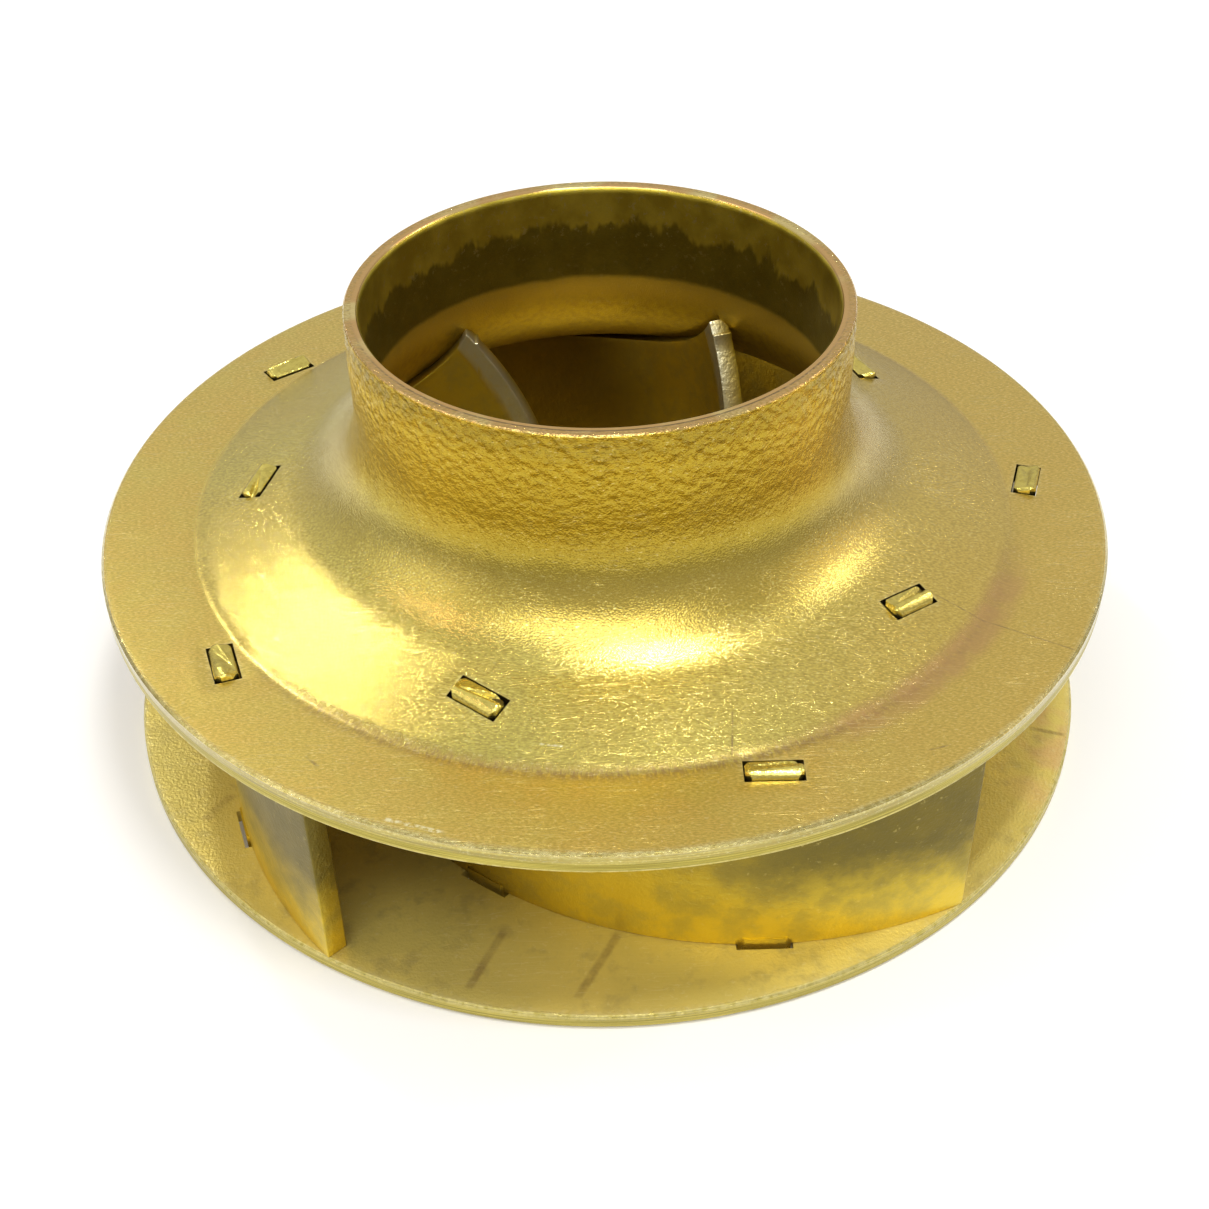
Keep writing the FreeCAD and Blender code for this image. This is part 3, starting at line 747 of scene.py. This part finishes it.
class Shader:
    """A node tree written as calls. Values may be numbers, colours or other nodes' outputs."""

    def __init__(self, name):
        self.material = bpy.data.materials.new(name)
        self.material.use_nodes = True
        self.tree = self.material.node_tree
        self.tree.nodes.clear()

    def node(self, kind, *inputs, **named):
        node = self.tree.nodes.new(kind)
        sockets = named.pop("sockets", {})
        for key, setting in named.items():
            setattr(node, key, setting)
        for key, value in list(enumerate(inputs)) + list(sockets.items()):
            if value is None:
                continue
            if isinstance(value, bpy.types.NodeSocket):
                self.tree.links.new(value, node.inputs[key])
            else:
                node.inputs[key].default_value = value
        return node

    def math(self, operation, a, b=None):
        return self.node("ShaderNodeMath", a, b, operation=operation).outputs[0]

    def mul(self, a, b):
        return self.math("MULTIPLY", a, b)

    def add(self, a, b):
        return self.math("ADD", a, b)

    def sub(self, a, b):
        return self.math("SUBTRACT", a, b)

    def size(self, value):
        return self.math("ABSOLUTE", value)

    def step(self, value, low, high, to_low=0.0, to_high=1.0):
        """A smooth step of a value from low to high."""
        node = self.node("ShaderNodeMapRange", value, low, high, to_low, to_high,
                         interpolation_type="SMOOTHSTEP")
        return node.outputs[0]

    def mix(self, share, a, b):
        """A mix of two colours."""
        node = self.node("ShaderNodeMix", data_type="RGBA", blend_type="MIX")
        for key, value in ((0, share), (6, a), (7, b)):
            if isinstance(value, bpy.types.NodeSocket):
                self.tree.links.new(value, node.inputs[key])
            else:
                node.inputs[key].default_value = value
        return node.outputs[2]

    def noise(self, vector, scale, detail=2.0, rough=0.5):
        sockets = {"Scale": scale, "Detail": detail, "Roughness": rough}
        return self.node("ShaderNodeTexNoise", vector, sockets=sockets).outputs[0]

    def off_centre(self, value):
        """A noise value less its middle, 0.5."""
        return self.sub(value, 0.5)

    def radius(self, x, y):
        return self.math("SQRT", self.add(self.mul(x, x), self.mul(y, y)))

    def attribute(self, name):
        return self.node("ShaderNodeAttribute", attribute_name=name).outputs["Fac"]

    def millimetres(self):
        """The object's own coordinates in millimetres."""
        place = self.node("ShaderNodeTexCoord").outputs["Object"]
        scale = (1000.0, 1000.0, 1000.0)
        return self.node("ShaderNodeVectorMath", place, scale, operation="MULTIPLY").outputs[0]

    def split(self, vector):
        return self.node("ShaderNodeSeparateXYZ", vector).outputs

    def join(self, x, y, z):
        return self.node("ShaderNodeCombineXYZ", x, y, z).outputs[0]

    def scratches(self, vector, degrees, length, pitch, width, cover, seed):
        """Thin lines at an angle, where a wide noise lets them show."""
        turned_v = self.node("ShaderNodeMapping", vector, (seed * 13.1, seed * 7.7, 0.0),
                             (0.0, 0.0, math.radians(degrees)), (1.0 / length, 1.0 / pitch, 1.0 / pitch))
        wave = self.noise(turned_v.outputs[0], 1.0, 1.0, 0.4)
        near = self.size(self.off_centre(wave))
        thin = self.step(near, width, 0.0)
        by = (seed * 5.0, seed * 9.0, seed)
        shift = self.node("ShaderNodeVectorMath", vector, by, operation="ADD").outputs[0]
        where = self.step(self.noise(shift, 0.09, 2.0), cover, cover + 0.06)
        return self.mul(thin, where)

    def stroke(self, x, y, start, end, width):
        """A thin straight mark between two places in plan, in millimetres."""
        dx, dy = end[0] - start[0], end[1] - start[1]
        length = math.hypot(dx, dy)
        ux, uy = dx / length, dy / length
        middle = start[0] * ux + start[1] * uy + length / 2
        along = self.add(self.add(self.mul(x, ux), self.mul(y, uy)), -middle)
        across = self.add(self.add(self.mul(x, -uy), self.mul(y, ux)), start[0] * uy - start[1] * ux)
        ends = self.step(self.size(along), length / 2 + 0.5, length / 2 - 0.5)
        return self.mul(ends, self.step(self.size(across), width, width * 0.3))

    def strongest(self, draw, rows):
        """The strongest of draw(*row) for each row."""
        total = None
        for row in rows:
            mark = draw(*row)
            total = mark if total is None else self.math("MAXIMUM", total, mark)
        return total

    def bump(self, height, distance, before=None):
        node = self.node("ShaderNodeBump", sockets={"Strength": 1.0, "Distance": distance, "Height": height})
        if before is not None:
            self.tree.links.new(before, node.inputs["Normal"])
        return node.outputs[0]

    def finish(self, colour, rough, normal, metallic=1.0, coat=None):
        surface = self.node("ShaderNodeBsdfPrincipled")
        surface.inputs["Metallic"].default_value = metallic
        surface.inputs["Specular IOR Level"].default_value = 0.25
        if coat is not None:
            self.tree.links.new(coat, surface.inputs["Coat Weight"])
        surface.inputs["Coat Roughness"].default_value = 0.23
        self.tree.links.new(normal, surface.inputs["Coat Normal"])
        for key, value in (("Base Color", colour), ("Roughness", rough), ("Normal", normal)):
            self.tree.links.new(value, surface.inputs[key])
        out = self.node("ShaderNodeOutputMaterial")
        self.tree.links.new(surface.outputs[0], out.inputs[0])
        return self.material


def rgb(r, g, b):
    return (r, g, b, 1.0)


GOLD = rgb(0.76, 0.61, 0.120)
GREEN_GOLD = rgb(0.74, 0.635, 0.135)
WARM_GOLD = rgb(0.76, 0.53, 0.105)
YELLOW = rgb(0.80, 0.55, 0.025)
BROWN = rgb(0.30, 0.19, 0.07)
SILVER = rgb(0.78, 0.74, 0.55)
PALE = rgb(0.93, 0.83, 0.42)


def shroud_material():
    """Brass of the front shroud: worn land, sandy dome, rough collar, tarnished inside, with painted shade
    and painted glints in places.
    """
    m = Shader("shroud_brass")
    p = m.millimetres()
    x, y, z = m.split(p)
    r = m.radius(x, y)
    theta = m.math("ARCTAN2", y, x)
    outer = m.attribute("outer")
    broad = m.noise(p, 0.035, 2.0)
    mid = m.noise(p, 0.22, 3.0, 0.55)
    fine = m.noise(p, 1.1, 3.0, 0.6)
    grain = m.noise(p, 4.6, 2.0, 0.5)

    land = m.mul(outer, m.step(r, 53.6, 55.4))
    collar = m.mul(outer, m.step(z, 40.0, 48.0))
    base = m.mix(m.step(broad, 0.35, 0.65), GREEN_GOLD, GOLD)
    base = m.mix(m.mul(m.step(x, 10.0, 48.0), 0.75), base, WARM_GOLD)
    base = m.mix(m.mul(land, m.step(mid, 0.25, 0.70, 0.35, 0.85)), base, WARM_GOLD)
    base = m.mix(m.mul(collar, 0.75), base, YELLOW)

    # Painted shade: a streaky dark brown band along the crease, on the near side only.
    streak = m.noise(m.join(m.mul(theta, 110.0), m.mul(r, 0.7), 0.0), 1.0, 3.0, 0.7)
    ring = m.mul(m.step(m.size(m.sub(r, m.add(54.2, m.mul(fine, 0.6)))), 1.9, 0.1),
                 m.step(streak, 0.30, 0.62))
    front = m.step(m.size(m.add(theta, 1.35)), 1.35, 0.7)
    ring = m.mul(m.mul(ring, outer), m.mul(front, m.step(z, 36.0, 34.0)))
    base = m.mix(m.mul(ring, 0.92), base, BROWN)

    grime = m.mul(collar, m.mul(m.step(z, 55.0, 58.5), m.step(z, 59.8, 59.2)))
    base = m.mix(m.mul(grime, m.step(fine, 0.40, 0.60, 0.35, 0.95)), base, rgb(0.22, 0.165, 0.035))
    speck = m.step(fine, 0.64, 0.72)
    base = m.mix(m.mul(speck, 0.30), base, PALE)

    # Painted shade: the fillet and collar are painted darker brown on the near side.
    above = m.mul(outer, m.step(z, 33.5, 37.0))
    neck_shade = m.mul(above, m.step(m.size(m.add(theta, 1.35)), 1.7, 0.5))
    base = m.mix(m.mul(neck_shade, 0.62), base, rgb(0.38, 0.265, 0.015))
    rim = m.step(z, 59.72, 59.92)
    salmon = m.mix(m.step(m.noise(p, 0.10, 2.0), 0.50, 0.62), rgb(0.70, 0.45, 0.19), rgb(0.80, 0.66, 0.30))
    base = m.mix(rim, base, salmon)

    inside = m.mul(m.sub(1.0, outer), m.sub(1.0, rim))
    # Painted shade: the collar's inner wall below about 54 mm is painted near-black, with a streaky upper
    # edge.
    streaky_edge = m.noise(m.join(m.mul(theta, 9.0), m.mul(z, 0.10), 0.0), 1.0, 3.0, 0.6)
    collar_inside_shade = m.step(m.add(z, m.mul(m.off_centre(streaky_edge), 9.0)), 54.6, 53.2)
    stain = m.step(m.add(z, m.mul(m.off_centre(mid), 1.0)), 45.9, 46.9)
    tarnish = m.mix(m.step(mid, 0.35, 0.7), rgb(0.44, 0.34, 0.035), rgb(0.62, 0.50, 0.065))
    throat = m.mix(m.step(fine, 0.35, 0.7), rgb(0.50, 0.36, 0.03), rgb(0.40, 0.28, 0.03))
    tarnish = m.mix(m.mul(collar_inside_shade, 0.75), tarnish, rgb(0.10, 0.08, 0.01))
    throat = m.mix(m.step(z, 40.5, 45.5), throat, rgb(0.68, 0.50, 0.08))
    within = m.mix(stain, throat, tarnish)
    fleck = m.mul(m.step(m.noise(p, 0.9, 4.0, 0.75), 0.57, 0.66), m.step(z, 47.0, 56.0, 0.25, 1.0))
    within = m.mix(m.mul(fleck, 0.55), within, rgb(0.55, 0.48, 0.20))
    base = m.mix(inside, base, within)

    wall = m.step(r, 66.25, 66.45)
    turning = m.noise(m.join(m.mul(theta, 3.0), m.mul(z, 9.0), 0.0), 1.0, 2.0, 0.6)
    base = m.mix(wall, base, m.mix(m.step(turning, 0.40, 0.62), rgb(0.30, 0.25, 0.05), rgb(0.62, 0.53, 0.12)))
    edge = m.attribute("edge")
    base = m.mix(m.mul(edge, m.step(fine, 0.30, 0.60, 0.1, 0.6)), base, PALE)
    # Rubbed brass and a painted highlight, paler round each slot's edge.
    slot = m.attribute("slot")
    base = m.mix(m.mul(slot, 0.25), base, PALE)
    # Painted shade: the slot walls are painted near-black, so the gaps round the tabs look dark.
    base = m.mix(m.attribute("wall"), base, rgb(0.07, 0.05, 0.02))

    lean = m.node("ShaderNodeMapping", p, (0.0, 0.0, 0.0), (0.0, 0.0, math.radians(38)), (2.0, 5.0, 5.0))
    sand = m.noise(lean.outputs[0], 1.0, 2.0, 0.6)
    hollow = m.mul(m.step(sand, 0.62, 0.36), m.add(0.15, m.mul(outer, 0.38)))
    base = m.mix(hollow, base, rgb(0.42, 0.30, 0.04))
    base = m.mix(m.mul(m.step(sand, 0.60, 0.74), m.mul(outer, 0.50)), base, PALE)
    red_side = m.step(m.size(m.add(theta, 0.72)), 0.50, 0.25)
    red_ring = m.mul(m.step(m.size(m.add(r, -55.2)), 3.0, 1.0), m.mul(red_side, outer))
    base = m.mix(m.mul(red_ring, m.step(mid, 0.3, 0.6, 0.25, 0.65)), base, rgb(0.56, 0.32, 0.11))
    dark = m.strongest(m.stroke, [(x, y, (40.9, -25.9), (56.3, -34.9), 0.16),
                                  (x, y, (36.2, -51.6), (38.6, -50.9), 0.18),
                                  (x, y, (-33.9, -51.1), (-32.6, -52.4), 0.28),
                                  (x, y, (14.3, -46.5), (13.9, -52.3), 0.16)])
    base = m.mix(m.mul(m.mul(dark, outer), m.step(fine, 0.35, 0.60, 0.25, 0.65)), base, BROWN)
    # Painted glints: two near-white marks, one along the rim at the front left, one short mark on the dome.
    glints = m.strongest(m.stroke, [(x, y, (-24.4, -60.8), (-17.9, -63.0), 0.40),
                                   (x, y, (-8.1, -50.4), (-4.8, -51.0), 0.20)])
    base = m.mix(m.mul(m.mul(glints, outer), m.step(fine, 0.4, 0.6)), base, rgb(0.97, 0.90, 0.55))
    lines = m.strongest(m.scratches, [(p, 62, 9.0, 0.55, 0.012, 0.50, 1),
                                      (p, -18, 12.0, 0.6, 0.010, 0.54, 2),
                                      (p, 118, 7.0, 0.5, 0.012, 0.56, 3)])
    lines = m.mul(lines, outer)
    base = m.mix(m.mul(lines, 0.25), base, PALE)

    rough = m.add(0.195, m.mul(m.off_centre(mid), 0.06))
    rough = m.add(rough, m.mul(land, 0.12))
    rough = m.add(rough, m.mul(inside, 0.16))
    rough = m.sub(rough, m.mul(m.math("MAXIMUM", edge, rim), 0.10))
    rough = m.add(rough, m.mul(ring, 0.2))
    rough = m.math("MAXIMUM", rough, 0.12)

    sandy = m.mul(m.sub(1.0, rim), m.add(0.35, m.mul(m.step(r, 55.0, 52.0), 0.65)))
    normal = m.bump(m.mul(grain, sandy), 0.000045)
    normal = m.bump(m.mul(fine, m.add(0.10, m.mul(collar, 1.6))), 0.00012, normal)
    normal = m.bump(m.mul(lines, -1.0), 0.00001, normal)
    return m.finish(base, rough, normal, 0.90, m.mul(outer, m.step(z, 43.0, 39.0, 0.1, 1.0)))


def plate_material():
    """Brass of the back plate: olive gold with scribed lines and stains."""
    m = Shader("plate_brass")
    p = m.millimetres()
    x, y, z = m.split(p)
    r = m.radius(x, y)
    broad = m.noise(p, 0.045, 3.0)
    mid = m.noise(p, 0.30, 3.0, 0.6)
    fine = m.noise(p, 1.3, 3.0, 0.6)
    base = m.mix(m.step(broad, 0.40, 0.62), rgb(0.74, 0.61, 0.17), rgb(0.86, 0.70, 0.19))
    base = m.mix(m.mul(m.step(mid, 0.50, 0.75), 0.5), base, rgb(0.46, 0.37, 0.13))
    pink = m.mul(m.step(x, 50.0, 60.0), m.step(m.noise(p, 0.12, 2.0), 0.42, 0.58))
    base = m.mix(m.mul(pink, 0.55), base, rgb(0.80, 0.47, 0.24))
    base = m.mix(m.mul(m.step(fine, 0.60, 0.72), 0.25), base, PALE)
    scribed = m.strongest(m.stroke, [(x, y, (-17.0, -61.6), (-13.2, -53.1), 0.75),
                                     (x, y, (-4.1, -63.2), (0.8, -53.8), 0.75),
                                     (x, y, (-52.9, -33.2), (-50.1, -28.7), 1.0),
                                     (x, y, (58.0, -18.7), (62.5, -20.2), 0.5)])
    base = m.mix(m.mul(scribed, m.mul(m.step(z, 1.0, 1.8), m.step(mid, 0.3, 0.65, 0.10, 0.55))), base, BROWN)
    lines = m.strongest(m.scratches, [(p, -30, 10.0, 0.6, 0.012, 0.50, 4),
                                      (p, 55, 12.0, 0.7, 0.010, 0.52, 5)])
    base = m.mix(m.mul(lines, 0.3), base, PALE)
    wall = m.step(r, 65.8, 66.0)
    turning = m.noise(m.join(m.mul(m.math("ARCTAN2", y, x), 3.0), m.mul(z, 9.0), 0.0), 1.0, 2.0, 0.6)
    base = m.mix(wall, base, m.mix(m.step(turning, 0.40, 0.62), rgb(0.36, 0.30, 0.06), rgb(0.64, 0.54, 0.13)))
    edge = m.attribute("edge")
    base = m.mix(m.mul(edge, m.step(fine, 0.30, 0.60, 0.05, 0.4)), base, PALE)
    rough = m.add(0.36, m.mul(m.off_centre(mid), 0.22))
    rough = m.sub(rough, m.mul(edge, 0.10))
    normal = m.bump(m.noise(p, 2.6, 2.0), 0.00006)
    normal = m.bump(fine, 0.00004, normal)
    return m.finish(base, rough, normal, 0.40)


def vane_material():
    """Brass of the vanes: mottled gold faces, painted shade with some stain darkening them towards the tips
    and inside, silvery leading edges.
    """
    m = Shader("vane_brass")
    p = m.millimetres()
    z = m.split(p)[2]
    mid = m.noise(p, 0.20, 4.0, 0.6)
    fine = m.noise(p, 1.2, 3.0, 0.6)
    base = m.mix(m.step(mid, 0.40, 0.62), rgb(0.78, 0.58, 0.06), rgb(0.66, 0.51, 0.08))
    # Painted shade with some stain: near-black towards the tips, more so higher up under the shroud.
    tip = m.mul(m.attribute("tip"), m.step(m.add(m.mul(z, 0.05), m.mul(mid, 0.45)), 0.35, 1.10))
    base = m.mix(m.mul(tip, 0.85), base, rgb(0.075, 0.062, 0.02))
    base = m.mix(m.mul(m.step(fine, 0.62, 0.75), 0.25), base, rgb(0.80, 0.66, 0.22))
    # Painted shade: the inner part of each vane painted dark brown.
    base = m.mix(m.mul(m.attribute("inner_shade"), 0.85), base, rgb(0.22, 0.135, 0.015))
    lead = m.mul(m.attribute("lead"), m.step(fine, 0.20, 0.50, 0.75, 1.0))
    base = m.mix(lead, base, SILVER)
    head = m.attribute("head")
    base = m.mix(head, base, m.mix(m.step(fine, 0.4, 0.65), rgb(0.76, 0.64, 0.17), rgb(0.64, 0.53, 0.13)))
    # Painted shade: tab sides down in the slots painted near-black.
    base = m.mix(m.attribute("slot_shade"), base, rgb(0.10, 0.07, 0.02))
    rough = m.add(0.36, m.mul(m.off_centre(mid), 0.2))
    rough = m.sub(rough, m.mul(head, 0.14))
    normal = m.bump(fine, 0.00008)
    normal = m.bump(m.noise(p, 3.0, 2.0), 0.00004, normal)
    return m.finish(base, rough, normal, 0.9)


def turned_material(name, base_a, base_b):
    """Machined brass with fine turning lines."""
    m = Shader(name)
    p = m.millimetres()
    x, y, z = m.split(p)
    r = m.radius(x, y)
    theta = m.math("ARCTAN2", y, x)
    grooves = m.noise(m.join(m.mul(r, 4.0), m.mul(z, 4.0), m.mul(theta, 0.6)), 1.0, 2.0, 0.6)
    mid = m.noise(p, 0.4, 3.0, 0.6)
    base = m.mix(m.step(mid, 0.35, 0.65), base_a, base_b)
    base = m.mix(m.mul(m.step(grooves, 0.55, 0.70), 0.3), base, PALE)
    rough = m.add(0.24, m.mul(m.off_centre(mid), 0.2))
    normal = m.bump(grooves, 0.00003)
    return m.finish(base, rough, normal)


# ---- the object

def place(obj, material, slot, *nodes):
    """Give a piece its material and body, and hide the CAD nodes that it stands for."""
    obj.data.materials.clear()
    obj.data.materials.append(material)
    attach(obj, "root")
    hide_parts(*nodes)


place(make_shroud(), shroud_material(), "shroud_brass", "front_shroud")
place(make_plate(), plate_material(), "plate_brass", "back_plate")
vane_finish = vane_material()
for number in range(5):
    place(make_vane(number), vane_finish, "vane_brass", f"vane_{number + 1}")
hub_finish = turned_material("hub_brass", rgb(0.72, 0.56, 0.22), rgb(0.62, 0.48, 0.18))
place(make_hub(), hub_finish, "hub_brass", "hub")
rivet_finish = turned_material("rivet_brass", rgb(0.74, 0.60, 0.28), rgb(0.60, 0.46, 0.18))
place(make_rivets(), rivet_finish, "rivet_brass", "hub_rivets")


# ---- floor, light and camera

def make_floor():
    """A plain pale floor under the object."""
    mesh = bpy.data.meshes.new("floor")
    mesh.from_pydata([(-3, -3, 0), (3, -3, 0), (3, 3, 0), (-3, 3, 0)], [], [(0, 1, 2, 3)])
    floor = bpy.data.objects.new("floor", mesh)
    floor.location.z = -FLOOR_DROP
    bpy.context.scene.collection.objects.link(floor)
    material = bpy.data.materials.new("floor")
    material.use_nodes = True
    surface = material.node_tree.nodes["Principled BSDF"]
    surface.inputs["Base Color"].default_value = (0.92, 0.925, 0.95, 1)
    surface.inputs["Roughness"].default_value = 0.8
    surface.inputs["Emission Color"].default_value = (1, 1, 1, 1)
    surface.inputs["Emission Strength"].default_value = 0.07
    mesh.materials.append(material)


def lamp(name, direction, distance, width, height, power, colour):
    """A soft rectangular lamp that faces the object."""
    data = bpy.data.lights.new(name, "AREA")
    data.shape = "RECTANGLE"
    data.size = width
    data.size_y = height
    data.energy = power
    data.color = colour
    obj = bpy.data.objects.new(name, data)
    away = Vector(direction).normalized()
    obj.location = away * distance + Vector((0, 0, LAMP_AIM))
    obj.rotation_euler = away.to_track_quat("Z", "Y").to_euler()
    bpy.context.scene.collection.objects.link(obj)


def make_world():
    """A soft surround, brighter overhead than near the horizon."""
    world = bpy.data.worlds.new("soft")
    world.use_nodes = True
    bpy.context.scene.world = world
    tree = world.node_tree
    tree.nodes.clear()
    place_node = tree.nodes.new("ShaderNodeTexCoord")
    parts = tree.nodes.new("ShaderNodeSeparateXYZ")
    tree.links.new(place_node.outputs["Generated"], parts.inputs[0])
    ramp = tree.nodes.new("ShaderNodeValToRGB")
    tree.links.new(parts.outputs[2], ramp.inputs[0])
    stops = ramp.color_ramp.elements
    stops[0].color, stops[1].color = (0.27, 0.25, 0.22, 1), (0.55, 0.55, 0.52, 1)
    for position, colour in ((0.30, (0.60, 0.57, 0.50, 1)), (0.70, (0.66, 0.64, 0.58, 1)),
                             (0.88, (0.60, 0.59, 0.55, 1))):
        stops.new(position).color = colour
    back = tree.nodes.new("ShaderNodeBackground")
    tree.links.new(ramp.outputs[0], back.inputs[0])
    out = tree.nodes.new("ShaderNodeOutputWorld")
    tree.links.new(back.outputs[0], out.inputs[0])


def make_camera():
    """The camera: 52 mm lens, 39 degrees above the horizon, in front of the object."""
    data = bpy.data.cameras.new("camera")
    data.lens = LENS
    data.sensor_width = SENSOR
    camera = bpy.data.objects.new("camera", data)
    pitch, yaw, roll = map(math.radians, (CAMERA_DOWN, CAMERA_YAW, CAMERA_ROLL))
    ahead = Vector((math.sin(yaw) * math.cos(pitch), math.cos(yaw) * math.cos(pitch), -math.sin(pitch)))
    right = Vector((math.cos(yaw), -math.sin(yaw), 0))
    up = right.cross(ahead)
    side = math.cos(roll) * right + math.sin(roll) * up
    top = -math.sin(roll) * right + math.cos(roll) * up
    camera.matrix_world = Matrix((
        (side.x, top.x, -ahead.x, CAMERA_AT[0]),
        (side.y, top.y, -ahead.y, CAMERA_AT[1]),
        (side.z, top.z, -ahead.z, CAMERA_AT[2]),
        (0, 0, 0, 1),
    ))
    data.clip_start = 0.01
    bpy.context.scene.collection.objects.link(camera)
    bpy.context.scene.camera = camera


make_floor()
make_world()
lamp("key", (0.16, -0.15, 0.98), 0.85, 0.17, 0.045, 2.3, (1.0, 1.0, 0.97))
lamp("front", (-0.05, -0.54, 0.84), 0.90, 0.75, 0.24, 2.3, (1.0, 0.99, 0.92))
lamp("back_left", (-0.44, 0.50, 0.745), 0.9, 0.05, 0.03, 0.8, (1.0, 0.99, 0.92))
lamp("right", (0.75, 0.20, 0.63), 0.9, 0.08, 0.08, 0.5, (1.0, 0.98, 0.88))
lamp("left", (-0.65, -0.10, 0.75), 0.9, 0.06, 0.06, 0.3, (1.0, 0.66, 0.66))
lamp("right_wall", (0.86, 0.15, 0.48), 0.95, 0.50, 0.40, 0.5, (1.0, 0.82, 0.74))
lamp("left_wall", (-0.84, -0.22, 0.50), 0.95, 0.60, 0.40, 0.6, (1.0, 0.97, 0.88))
make_camera()
bpy.context.scene.view_settings.view_transform = "Standard"
